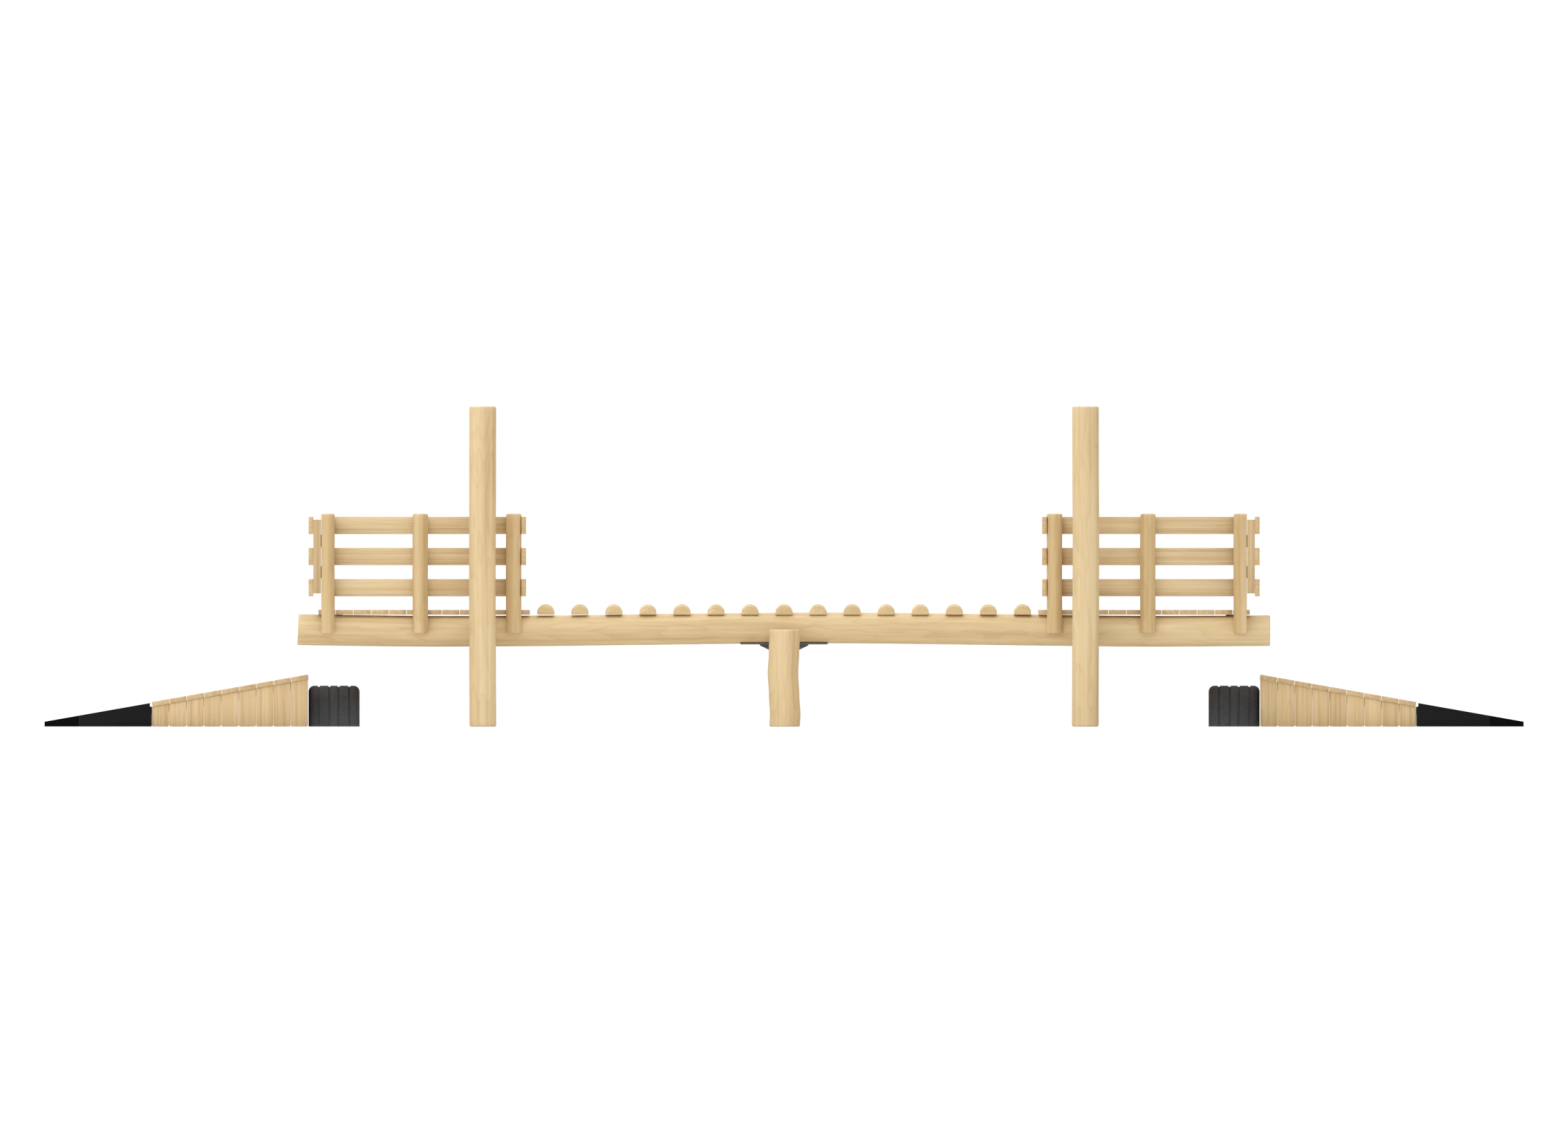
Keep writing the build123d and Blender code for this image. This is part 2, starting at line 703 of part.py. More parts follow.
def make_ramps():
    slope_length = ramp_run / math.cos(slope)
    pitch = slope_length / ramp_board_count
    tread = Box(pitch - board_gap, 2 * ramp_half_width, board_thickness)
    slope_frame = Pos(ramp_top_place, 0, ramp_top_height) * Rot(0, ramp_slope_deg, 0)
    middles = [(i + 0.5) * pitch for i in range(ramp_board_count)]
    treads = [slope_frame * Pos(s, 0, -board_thickness / 2) * tread for s in middles]
    save("ramp_deck_right", treads)
    save("ramp_deck_left", to_left(treads))

    side_pitch = ramp_run / ramp_board_count
    cut = ramp_side_chamfer
    side_boards = []
    for i in range(ramp_board_count):
        x_low = ramp_top_place + i * side_pitch + (board_gap / 2 if i else 0)
        x_high = ramp_top_place + (i + 1) * side_pitch - board_gap / 2
        outline = [
            (x_low, cut),
            (x_low + cut, 0),
            (x_high - cut, 0),
            (x_high, cut),
            (x_high, ramp_underside(x_high)),
            (x_low, ramp_underside(x_low)),
        ]
        side_boards.append(prism(outline, ramp_side_face - board_thickness, ramp_side_face))
    side_boards += to_front(side_boards)
    save("ramp_side_boards_right", side_boards)
    save("ramp_side_boards_left", to_left(side_boards))

    stringer_row = ramp_side_face - board_thickness - stringer_width / 2
    stringers = [ramp_stringer(y, stringer_setback) for y in (-stringer_row, stringer_row)]
    middle_stringer = ramp_stringer(0, stringer_setback)
    for i in stringer_leg_boards:
        middle = ramp_top_place + (i + 0.5) * side_pitch
        x_low = middle - stringer_leg_width / 2
        x_high = middle + stringer_leg_width / 2
        top = stringer_depth / 2
        outline = [(x_low, 0), (x_high, 0), (x_high, ramp_underside(x_high) - top),
                   (x_low, ramp_underside(x_low) - top)]
        middle_stringer += prism(outline, -stringer_width / 2, stringer_width / 2)
    stringers.append(middle_stringer)
    save("ramp_stringers_right", stringers)
    save("ramp_stringers_left", to_left(stringers))

    tread_screws = [
        slope_frame * Pos(s + shift, y, 0) * short_screw
        for s in middles
        for shift in screw_pair
        for y in (-stringer_row, 0, stringer_row)
    ]
    side_screw = Rot(90, 0, 0) * wood_screw(stringer_width + board_thickness * 0.7)
    side_screws = []
    for i in range(ramp_board_count):
        x = ramp_top_place + (i + 0.5) * side_pitch
        height = ramp_underside(x) - stringer_depth / 2
        side_screws.append(Pos(x, stringer_row - stringer_width / 2, height) * side_screw)
    side_screws += to_front(side_screws)
    save("ramp_screws", both_ends(tread_screws + side_screws))

    joint = wedge_tip_place - toe_length
    notch = ramp_foot_place + wedge_notch_width
    notch_floor = wedge_height(ramp_foot_place) - wedge_notch_depth
    wedge = prism(
        [
            (ramp_foot_place, 0),
            (joint, 0),
            (joint, wedge_height(joint)),
            (notch, wedge_height(notch)),
            (notch, notch_floor),
            (ramp_foot_place, notch_floor),
        ],
        -ramp_half_width, ramp_half_width)
    toe = prism(
        [(joint, 0), (wedge_tip_place, 0), (wedge_tip_place, wedge_tip_height), (joint, wedge_height(joint))],
        -ramp_half_width, ramp_half_width)
    save("rubber_wedge_right", [wedge])
    save("rubber_wedge_left", to_left([wedge]))
    save("rubber_toe_right", [toe])
    save("rubber_toe_left", to_left([toe]))


make_posts()
make_fulcrum()
make_beams()
make_steps()
make_decks()
make_fence()
make_post_bolts()
make_gates()
make_hinges()
make_latches()
make_tyres()
make_ramps()
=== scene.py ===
import json
import math

import bmesh
import bpy
import numpy as np
from mathutils import Matrix, Vector, noise


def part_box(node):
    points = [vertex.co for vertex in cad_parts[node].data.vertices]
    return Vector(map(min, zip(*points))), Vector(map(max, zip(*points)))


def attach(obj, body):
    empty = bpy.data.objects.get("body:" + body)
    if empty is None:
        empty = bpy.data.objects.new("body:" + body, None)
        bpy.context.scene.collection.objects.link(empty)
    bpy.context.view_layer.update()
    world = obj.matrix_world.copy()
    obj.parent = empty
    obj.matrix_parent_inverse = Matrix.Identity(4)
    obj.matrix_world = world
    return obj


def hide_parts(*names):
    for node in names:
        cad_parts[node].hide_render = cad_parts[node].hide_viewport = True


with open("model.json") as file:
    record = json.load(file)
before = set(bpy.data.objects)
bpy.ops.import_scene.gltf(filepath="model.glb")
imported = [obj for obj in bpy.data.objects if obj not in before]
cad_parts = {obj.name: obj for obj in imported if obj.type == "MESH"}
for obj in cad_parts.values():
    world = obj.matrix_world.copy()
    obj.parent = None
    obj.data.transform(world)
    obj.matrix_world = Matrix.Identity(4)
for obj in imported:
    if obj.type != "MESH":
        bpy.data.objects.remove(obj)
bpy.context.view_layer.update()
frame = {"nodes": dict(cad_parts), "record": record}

cadNodes = frame["nodes"]
bodyOf = {
    node: body
    for body, members in frame["record"]["behaviour"]["bodies"].items()
    for node in members
}
ends = {"left": -1, "right": 1}
sides = {"front": -1, "rear": 1}
print("frame loaded with", len(cadNodes), "nodes")


# nodes and sockets, for geometry and for materials alike; a Value does sums with maths nodes

class Value:
    def __init__(self, socket):
        self.socket = socket

    def __add__(self, other):
        return calc("ADD", self, other)

    def __sub__(self, other):
        return calc("SUBTRACT", self, other)

    def __rsub__(self, other):
        return calc("SUBTRACT", other, self)

    def __mul__(self, other):
        return calc("MULTIPLY", self, other)

    def __truediv__(self, other):
        return calc("DIVIDE", self, other)

    def __rtruediv__(self, other):
        return calc("DIVIDE", other, self)

    def __pow__(self, other):
        return calc("POWER", self, other)

    def __gt__(self, other):
        return calc("GREATER_THAN", self, other)

    def __lt__(self, other):
        return calc("LESS_THAN", self, other)

    def __abs__(self):
        return calc("ABSOLUTE", self)

    __radd__, __rmul__ = __add__, __mul__


def treeOf(*values):
    return next(value.socket.id_data for value in values if isinstance(value, Value))


def put(tree, kind, sockets=None, **settings):
    node = tree.nodes.new(kind)
    for name, value in settings.items():
        setattr(node, name, value)
    for key, value in (sockets or {}).items():
        if isinstance(value, Value):
            tree.links.new(value.socket, node.inputs[key])
        else:
            node.inputs[key].default_value = value
    return node


# a node whose one output is wanted
def get(tree, kind, sockets=None, output=0, **settings):
    return Value(put(tree, kind, sockets, **settings).outputs[output])


def calc(operation, *values):
    return get(treeOf(*values), "ShaderNodeMath", dict(enumerate(values)), operation=operation)


def spread(value, fromLow, fromHigh, toLow, toHigh):
    sockets = {
        "Value": value, "From Min": fromLow, "From Max": fromHigh,
        "To Min": toLow, "To Max": toHigh,
    }
    return get(treeOf(value), "ShaderNodeMapRange", sockets, "Result", clamp=True)


def split(vector):
    node = put(treeOf(vector), "ShaderNodeSeparateXYZ", {0: vector})
    return [Value(node.outputs[axis]) for axis in "XYZ"]


def join(x, y, z):
    return get(treeOf(x, y, z), "ShaderNodeCombineXYZ", {0: x, 1: y, 2: z})


def gather(*parts):
    tree = treeOf(*parts)
    whole = put(tree, "GeometryNodeJoinGeometry")
    for part in parts:
        tree.links.new(part.socket, whole.inputs[0])
    return Value(whole.outputs[0])


# the inputs are given as labels by kind, the geometry first
def newTree(name, **inputs):
    tree = bpy.data.node_groups.new(name, "GeometryNodeTree")
    for kind, labels in inputs.items():
        for label in labels.split():
            socketType = "NodeSocket" + kind.capitalize()
            tree.interface.new_socket(label, in_out="INPUT", socket_type=socketType)
    tree.interface.new_socket("Geometry", in_out="OUTPUT", socket_type="NodeSocketGeometry")
    sockets = tree.nodes.new("NodeGroupInput").outputs
    return tree, {socket.name: Value(socket) for socket in sockets}


def closeTree(tree, geometry, finish):
    real = get(tree, "GeometryNodeRealizeInstances", {"Geometry": geometry})
    dressed = get(tree, "GeometryNodeSetMaterial", {"Geometry": real, "Material": finish})
    put(tree, "NodeGroupOutput", {0: dressed})
    return tree


def moved(geometry, position):
    sockets = {"Geometry": geometry, "Position": position}
    return get(treeOf(geometry), "GeometryNodeSetPosition", sockets)


def lineOf(count, **more):
    sockets = {"Count": count, **{name.replace("_", " "): value for name, value in more.items()}}
    return get(treeOf(count), "GeometryNodeMeshLine", sockets, mode="OFFSET")


def instanced(points, shape, **more):
    sockets = {"Points": points, "Instance": shape, **more}
    return get(treeOf(points), "GeometryNodeInstanceOnPoints", sockets)


def positionIn(tree):
    return split(get(tree, "GeometryNodeInputPosition"))


def randomFloat(low, high, seed):
    sockets = {2: low, 3: high, "Seed": seed}
    return get(treeOf(seed), "FunctionNodeRandomValue", sockets, 1, data_type="FLOAT")


def randomScale(low, high, seed):
    sockets = {0: low, 1: high, "Seed": seed}
    return get(treeOf(seed), "FunctionNodeRandomValue", sockets, data_type="FLOAT_VECTOR")


# pieces

def newPiece(name, mesh):
    piece = bpy.data.objects.new(name, mesh)
    bpy.context.scene.collection.objects.link(piece)
    return piece


def addBevel(piece, width, angle=32):
    bevel = piece.modifiers.new("arris", "BEVEL")
    bevel.width = width
    bevel.segments = 2
    bevel.limit_method = "ANGLE"
    bevel.angle_limit = math.radians(angle)
    bevel.harden_normals = True


def settleMesh(piece):
    shown = piece.evaluated_get(bpy.context.evaluated_depsgraph_get())
    mesh = bpy.data.meshes.new_from_object(shown)
    piece.modifiers.clear()
    piece.data = mesh
    mesh.name = piece.name
    return piece


def grow(name, tree, sizes, base=None):
    piece = newPiece(name, base or bpy.data.meshes.new(name))
    modifier = piece.modifiers.new(tree.name, "NODES")
    modifier.node_group = tree
    for item in tree.interface.items_tree:
        if item.in_out == "INPUT" and item.name in sizes:
            value = sizes[item.name]
            modifier[item.identifier] = list(value) if "Vector" in item.socket_type else value
    if "arris" in sizes:
        addBevel(piece, sizes["arris"])
    settleMesh(piece)
    smoothen(piece.data)
    if "arris" not in sizes:
        piece.data.set_sharp_from_angle(angle=math.radians(35))
    return piece


def place(piece, slotName, *standsFor):
    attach(piece, bodyOf[standsFor[0]])
    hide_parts(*standsFor)
    return piece


def pointsOf(mesh):
    points = np.empty(len(mesh.vertices) * 3)
    mesh.vertices.foreach_get("co", points)
    return points.reshape(-1, 3)


def islandsOf(mesh):
    edges = np.empty(len(mesh.edges) * 2, np.int32)
    mesh.edges.foreach_get("vertices", edges)
    first, second = edges.reshape(-1, 2).T
    label = np.arange(len(mesh.vertices))
    while True:
        low = np.minimum(label[first], label[second])
        merged = label.copy()
        np.minimum.at(merged, first, low)
        np.minimum.at(merged, second, low)
        merged = merged[merged]
        if (merged == label).all():
            return np.unique(label, return_inverse=True)[1]
        label = merged


def mergedShape(node):
    shape = bmesh.new()
    shape.from_mesh(cadNodes[node].data)
    bmesh.ops.remove_doubles(shape, verts=shape.verts, dist=2e-6)
    return shape


def meshFrom(shape, name):
    mesh = bpy.data.meshes.new(name)
    shape.to_mesh(mesh)
    shape.free()
    return mesh


def smoothen(mesh):
    mesh.polygons.foreach_set("use_smooth", np.ones(len(mesh.polygons), bool))


def storeGrain(mesh, grain, endGrain):
    mesh.attributes.new("grain", "FLOAT_VECTOR", "POINT").data.foreach_set("vector", grain.ravel())
    mesh.attributes.new("endGrain", "FLOAT", "FACE").data.foreach_set("value", endGrain)


# every board gets its own stretch of timber: along it, across it and through it, off the log's pith
def grainOfBoards(mesh, seed, pith=0.08, along=None):
    rng = np.random.default_rng(seed)
    points = pointsOf(mesh)
    island = islandsOf(mesh)
    grain = np.empty_like(points)
    alongOf = np.empty(island.max() + 1, int)
    for index in range(island.max() + 1):
        mine = island == index
        low, high = points[mine].min(0), points[mine].max(0)
        order = [int(axis) for axis in np.argsort(high - low)]
        if along is not None:
            order.remove(along)
            order.append(along)
        depthAxis, acrossAxis, alongAxis = order
        shift = rng.uniform((0, -0.06, pith * 0.55), (20, 0.06, pith * 1.7))
        turn = rng.choice((-1.0, 1.0), 3)
        local = (points[mine] - (low + high) / 2)[:, [alongAxis, acrossAxis, depthAxis]]
        grain[mine] = local * turn + shift
        alongOf[index] = alongAxis
    normals = np.empty(len(mesh.polygons) * 3)
    mesh.polygons.foreach_get("normal", normals)
    normals = normals.reshape(-1, 3)
    starts = np.empty(len(mesh.polygons), np.int32)
    mesh.polygons.foreach_get("loop_start", starts)
    corners = np.empty(len(mesh.loops), np.int32)
    mesh.loops.foreach_get("vertex_index", corners)
    axes = alongOf[island[corners[starts]]]
    facing = np.abs(normals[np.arange(len(normals)), axes])
    storeGrain(mesh, grain, (facing > 0.8).astype(float))


# a copy of a CAD part with its arrises taken off
def softened(name, node, finish, width):
    shape = mergedShape(node)
    flatness = math.radians(0.6)
    bmesh.ops.dissolve_limit(shape, angle_limit=flatness, verts=shape.verts, edges=shape.edges)
    piece = newPiece(name, meshFrom(shape, name))
    addBevel(piece, width)
    settleMesh(piece)
    mesh = piece.data
    mesh.materials.clear()
    mesh.materials.append(finish)
    mesh.polygons.foreach_set("material_index", np.zeros(len(mesh.polygons), np.int32))
    smoothen(mesh)
    return piece


def dress(node, finish):
    for materialSlot in cadNodes[node].material_slots:
        materialSlot.material = finish


# materials

def tone(red, green, blue):
    return tuple(
        value / 255 / 12.92 if value < 10.3 else ((value / 255 + 0.055) / 1.055) ** 2.4
        for value in (red, green, blue)
    ) + (1.0,)


def newMaterial(name):
    material = bpy.data.materials.new(name)
    material.use_nodes = True
    tree = material.node_tree
    tree.nodes.clear()
    shader = put(tree, "ShaderNodeBsdfPrincipled")
    put(tree, "ShaderNodeOutputMaterial", {"Surface": Value(shader.outputs[0])})
    return material, tree, shader


def cloud(vector, scale, detail=2.0, roughness=0.5):
    sockets = {"Vector": vector, "Scale": scale, "Detail": detail, "Roughness": roughness}
    return get(treeOf(vector), "ShaderNodeTexNoise", sockets)


# distance to the nearest cell's middle, and a random number for each cell
def cellsOf(vector, scale):
    node = put(treeOf(vector), "ShaderNodeTexVoronoi", {"Vector": vector, "Scale": scale})
    return Value(node.outputs["Distance"]), split(Value(node.outputs["Color"]))[0]


def stretched(vector, x, y, z):
    sockets = {0: vector, 1: (x, y, z)}
    return get(treeOf(vector), "ShaderNodeVectorMath", sockets, operation="MULTIPLY")


def mixed(factor, first, second, blend="MIX"):
    sockets = {0: factor, 6: first, 7: second}
    return get(treeOf(factor), "ShaderNodeMix", sockets, 2, data_type="RGBA", blend_type=blend)


def ramped(value, stops):
    node = put(treeOf(value), "ShaderNodeValToRGB", {0: value})
    steps = node.color_ramp.elements
    while len(steps) < len(stops):
        steps.new(0.5)
    for step, (position, colour) in zip(steps, stops):
        step.position = position
        step.color = colour
    return Value(node.outputs[0])


def feed(shader, **values):
    for name, value in values.items():
        value.socket.id_data.links.new(value.socket, shader.inputs[name.replace("_", " ")])


def bumped(shader, height, distance, strength=1.0):
    sockets = {"Height": height, "Strength": strength, "Distance": distance}
    feed(shader, Normal=get(treeOf(height), "ShaderNodeBump", sockets))


# how much an edge stands out, for paler edges: a painted highlight on the wood's arrises, rubbed
# wear on the steel's
def edges(tree, low, high, most):
    return spread(get(tree, "ShaderNodeNewGeometry", output="Pointiness"), low, high, 0.0, most)


def woodMaterial(name, look):
    material, tree, shader = newMaterial(name)
    grain = get(tree, "ShaderNodeAttribute", output="Vector", attribute_name="grain")
    across, through = split(grain)[1:]

    # a few knots, drawn out along the grain, which push the growth rings aside
    away, lot = cellsOf(stretched(grain, 1.7, 7.5, 7.5), 1.0)
    chosen = lot > look["knotless"]
    nearness = chosen * spread(away, 0.0, 0.42, 1.0, 0.0)
    knot = chosen * spread(away, 0.03, 0.1, 1.0, 0.0)
    push = nearness ** 2.0

    # growth rings round the pith, bent by a slow drift
    drift = cloud(stretched(grain, 0.9, 6.5, 6.5), 1.0, 2.0, 0.5)
    radius = calc("SQRT", across * across + through * through)
    wander = cloud(stretched(grain, 3.2, 13.0, 13.0), 1.0, 1.0)
    bent = radius + drift * look["drift"] + wander * (look["drift"] * 0.3) + push * 0.016
    phase = calc("FRACT", bent / look["ring"])
    late = phase ** 2.2 * spread(phase, 0.9, 1.0, 1.0, 0.0)

    fibre = cloud(stretched(grain, 5.0, 330.0, 330.0), 1.0, 3.0, 0.6)
    streak = cloud(stretched(grain, 1.1, 60.0, 60.0), 1.0, 3.0, 0.6)
    band = cloud(stretched(grain, 0.6, 24.0, 24.0), 1.0, 2.0, 0.5)
    layer = cloud(stretched(grain, 3.0, 14.0, 170.0), 1.0, 2.0, 0.5)
    patch = cloud(stretched(grain, 1.0, 5.0, 5.0), 1.0, 1.0)
    pores = spread(cloud(stretched(grain, 42.0, 1100.0, 1100.0), 1.0, 1.0), 0.62, 0.74, 0.0, 1.0)

    level = 0.5 + (patch - 0.5) * look["patch"]
    ended = get(tree, "ShaderNodeAttribute", output="Fac", attribute_name="endGrain")
    sided = spread(ended, 0.0, 1.0, 1.0, 0.12)
    figure = (streak - 0.5) * look["streak"] + (fibre - 0.5) * look["fibre"]
    figure = figure + (band - 0.5) * look["band"] - pores * look["pores"]
    level = level + (layer - 0.5) * look["layer"] * ended + figure * sided
    level = level - late * (look["late"] + ended * look["endRings"])
    colour = ramped(level, ((0.0, look["dark"]), (0.5, look["middle"]), (1.0, look["light"])))
    colour = mixed(ended * 0.85, colour, look["endTint"], "MULTIPLY")
    colour = mixed(knot * 0.75, colour, look["knot"])
    # painted highlight: the arrises are drawn paler, as where the light catches them
    pale = edges(tree, 0.505, 0.56, 0.35) * spread(streak, 0.35, 0.6, 0.3, 1.0)
    gloss = late * -0.08 + fibre * 0.16
    feed(shader, Base_Color=mixed(pale, colour, look["edgeHighlightAndWear"]), Roughness=gloss + look["roughness"])
    height = fibre * 0.5 + late * 0.35 - pores * 0.5 + streak * 0.5
    bumped(shader, height * sided, look["relief"])
    shader.inputs["Specular IOR Level"].default_value = 0.3
    return material


peeledLook = {
    "dark": tone(192, 161, 113), "middle": tone(221, 195, 149), "light": tone(238, 217, 178),
    "endTint": tone(240, 230, 212), "knot": tone(156, 114, 68), "edgeHighlightAndWear": tone(243, 227, 195),
    "knotless": 0.84, "drift": 0.06, "ring": 0.0075, "patch": 0.5, "streak": 0.42, "fibre": 0.16,
    "band": 0.75, "layer": 0.5, "late": 0.17, "endRings": 0.3, "pores": 0.013, "roughness": 0.5,
    "relief": 0.0006,
}
fenceLook = dict(
    peeledLook, dark=tone(182, 150, 99), middle=tone(210, 181, 132), light=tone(229, 204, 160),
    knotless=0.76, band=1.0)
halfLook = dict(peeledLook, endTint=tone(246, 240, 226), endRings=0.08)
sawnLook = dict(
    peeledLook, dark=tone(180, 146, 93), middle=tone(208, 177, 126), light=tone(226, 199, 151),
    knotless=0.8, drift=0.045, ring=0.006, late=0.2, endRings=0.06, roughness=0.6,
    relief=0.0004)
# painted shade: the battens get a darker copy of the sawn board colours, for the shade they stand in
# behind the posts
battenShadedLook = dict(
    sawnLook, dark=tone(166, 129, 76), middle=tone(192, 158, 106), light=tone(210, 180, 131))
peeledLog = woodMaterial("peeledLog", peeledLook)
fenceLog = woodMaterial("fenceLog", fenceLook)
halfLogWood = woodMaterial("halfLogWood", halfLook)
sawnBoard = woodMaterial("sawnBoard", sawnLook)
battenShadedBoard = woodMaterial("battenShadedBoard", battenShadedLook)


def rubberMaterial(name, look):
    material, tree, shader = newMaterial(name)
    place3d = get(tree, "ShaderNodeTexCoord", output="Object")
    dust = cloud(place3d, 7.0, 4.0, 0.6)
    away, lot = cellsOf(place3d, look["grit"])
    fine = cloud(place3d, 900.0, 2.0)
    level = dust * 0.6 + fine * 0.25 + lot * 0.15
    colour = ramped(level, ((0.25, look["dark"]), (0.55, look["middle"]), (0.8, look["light"])))
    roughness = spread(dust, 0.3, 0.7, look["roughness"] - 0.08, look["roughness"] + 0.1)
    pale = edges(tree, 0.51, 0.58, 0.3)
    feed(shader, Base_Color=mixed(pale, colour, look["edgeHighlightAndWear"]), Roughness=roughness)
    bumped(shader, away * look["relief"] + fine, 0.0005, 0.7)
    shader.inputs["Specular IOR Level"].default_value = look["sheen"]
    return material


wedgeLook = {
    "dark": tone(18, 18, 19), "middle": tone(25, 25, 26), "light": tone(34, 34, 36),
    "edgeHighlightAndWear": tone(46, 46, 47), "grit": 420.0, "relief": 0.9, "roughness": 0.82, "sheen": 0.1,
}
# painted shade: the toe pieces get a darker copy of the wedge rubber, for the shading that falls
# differently on them
toeShadedLook = dict(
    wedgeLook, dark=tone(6, 6, 6), middle=tone(10, 10, 10), light=tone(17, 17, 17),
    edgeHighlightAndWear=tone(26, 26, 26), sheen=0.03)
tyreLook = {
    "dark": tone(70, 72, 76), "middle": tone(79, 81, 86), "light": tone(90, 92, 97),
    "edgeHighlightAndWear": tone(94, 96, 100), "grit": 700.0, "relief": 0.3, "roughness": 0.75, "sheen": 0.15,
}
wedgeRubber = rubberMaterial("wedgeRubber", wedgeLook)
toeShadedRubber = rubberMaterial("toeShadedRubber", toeShadedLook)
tyreRubber = rubberMaterial("tyreRubber", tyreLook)


def steelMaterial(name, look):
    material, tree, shader = newMaterial(name)
    place3d = get(tree, "ShaderNodeTexCoord", output="Object")
    lot = cellsOf(place3d, look["spangle"])[1]
    stain = cloud(place3d, 14.0, 5.0, 0.6)
    fine = cloud(place3d, 600.0, 2.0)
    level = lot * 0.35 + stain * 0.65
    colour = ramped(level, ((0.2, look["dark"]), (0.5, look["middle"]), (0.8, look["light"])))
    roughness = stain * 0.3 + fine * 0.1 + look["roughness"]
    pale = edges(tree, 0.51, 0.6, 0.6)
    feed(shader, Base_Color=mixed(pale, colour, look["edgeHighlightAndWear"]), Roughness=roughness)
    shader.inputs["Metallic"].default_value = look["metallic"]
    bumped(shader, fine + stain * 2.0, 0.0002, 0.6)
    return material


bracketLook = {
    "dark": tone(74, 72, 74), "middle": tone(91, 89, 91), "light": tone(112, 110, 112),
    "edgeHighlightAndWear": tone(130, 128, 130), "spangle": 90.0, "metallic": 0.12, "roughness": 0.5,
}
galvanisedLook = dict(
    bracketLook, dark=tone(140, 143, 147), middle=tone(168, 171, 175), light=tone(198, 201, 204),
    edgeHighlightAndWear=tone(214, 216, 218), metallic=0.85, roughness=0.22)
screwLook = dict(galvanisedLook, spangle=300.0, metallic=1.0, roughness=0.12)
bushLook = dict(
    wedgeLook, dark=tone(30, 31, 34), middle=tone(44, 45, 48), light=tone(58, 59, 62),
    roughness=0.45, sheen=0.4)
bracketSteel = steelMaterial("bracketSteel", bracketLook)
galvanisedSteel = steelMaterial("galvanisedSteel", galvanisedLook)
screwSteel = steelMaterial("screwSteel", screwLook)
bushPlastic = rubberMaterial("bushPlastic", bushLook)
print("materials made")


# round logs: rings of points along them, eased over at the ends and closed down to the pith

def bendAt(bends, share):
    if not bends:
        return 0.0
    stations = [station for station, shift in bends]
    shifts = [shift for station, shift in bends]
    index = max(i for i in range(len(stations) - 1) if share >= stations[i] or i == 0)
    low, high = stations[index], stations[index + 1]
    ease = min(max((share - low) / (high - low), 0.0), 1.0)
    ease = ease * ease * (3 - 2 * ease)
    return (shifts[index] + (shifts[index + 1] - shifts[index]) * ease) * 0.001


def makeLog(log, rng):
    low, high = log["low"], log["high"]
    along = log["along"]
    across, up = [axis for axis in range(3) if axis != along]
    start, end = low[along], high[along]
    length = end - start
    middle = [(low[axis] + high[axis]) / 2 for axis in range(3)]
    radius = log["radius"]
    easing = log["endRound"]
    around = log["around"]
    stations = [easing * (1 - math.cos(math.radians(step))) for step in (0, 22.5, 45, 67.5)]
    bodyCount = max(int(length / log["spacing"]), 8)
    stations += [easing + (length - 2 * easing) * step / bodyCount for step in range(bodyCount + 1)]
    stations += [length - station for station in reversed(stations[:4])]
    shift = Vector(rng.uniform(0, 50, 3))
    pith = rng.uniform(-0.08, 0.08, 2) * radius
    points, grain = [], []

    def addRing(station, share, scale):
        for step in range(around):
            angle = 2 * math.pi * step / around
            around3d = Vector((math.cos(angle), math.sin(angle), 0))
            ripple = noise.noise(around3d + Vector((0, 0, station * 1.6)) + shift)
            fine = noise.noise(around3d * 2.6 + Vector((0, 0, station * 7)) + shift)
            reach = (radius + log["ripple"] * ripple + log["ripple"] * 0.3 * fine) * scale
            place3d = [0.0, 0.0, 0.0]
            u, v = reach * math.cos(angle), reach * math.sin(angle)
            slant = log.get("slant", 0.0) * (v / radius) * (1 - min(station / 0.25, 1.0))
            place3d[along] = start + station + slant
            place3d[across] = middle[across] + u + bendAt(log.get("bendAcross"), share)
            place3d[up] = middle[up] + v + bendAt(log.get("bendUp"), share)
            if "flat" in log:
                place3d[0] = min(place3d[0] * log["flatSide"], log["flat"]) * log["flatSide"]
            points.append(place3d)
            grain.append((station + shift[0], u - pith[0], v - pith[1]))

    caps = (0.72, 0.4, 0.12)
    for scale in reversed(caps):
        addRing(0.0, 0.0, (1 - easing / radius) * scale)
    for station in stations:
        inset = max(easing - station, easing - (length - station), 0.0)
        scale = 1 - (easing - math.sqrt(max(easing ** 2 - inset ** 2, 0.0))) / radius
        addRing(station, station / length, scale)
    for scale in caps:
        addRing(length, 1.0, (1 - easing / radius) * scale)

    rows = len(points) // around
    faces, ended = [], []
    for row in range(rows - 1):
        for step in range(around):
            following = (step + 1) % around
            quad = (row * around + step, row * around + following,
                    (row + 1) * around + following, (row + 1) * around + step)
            faces.append(quad)
            ended.append(1.0 if row < len(caps) or row >= rows - 1 - len(caps) else 0.0)
    faces.append(tuple(reversed(range(around))))
    faces.append(tuple(range((rows - 1) * around, rows * around)))
    ended += [1.0, 1.0]
    if along == 1:
        faces = [tuple(reversed(face)) for face in faces]
    return points, faces, grain, ended


def logPiece(name, logs, seed, finish):
    rng = np.random.default_rng(seed)
    points, faces, grain, ended = [], [], [], []
    for log in logs:
        newPoints, newFaces, newGrain, newEnded = makeLog(log, rng)
        offset = len(points)
        points += newPoints
        faces += [tuple(corner + offset for corner in face) for face in newFaces]
        grain += newGrain
        ended += newEnded
    mesh = bpy.data.meshes.new(name)
    mesh.from_pydata(points, [], faces)
    mesh.materials.append(finish)
    smoothen(mesh)
    storeGrain(mesh, np.array(grain), np.array(ended))
    return newPiece(name, mesh)


def logFrom(node, sizes, **more):
    low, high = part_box(node)
    return dict(sizes, low=list(low), high=list(high), **more)


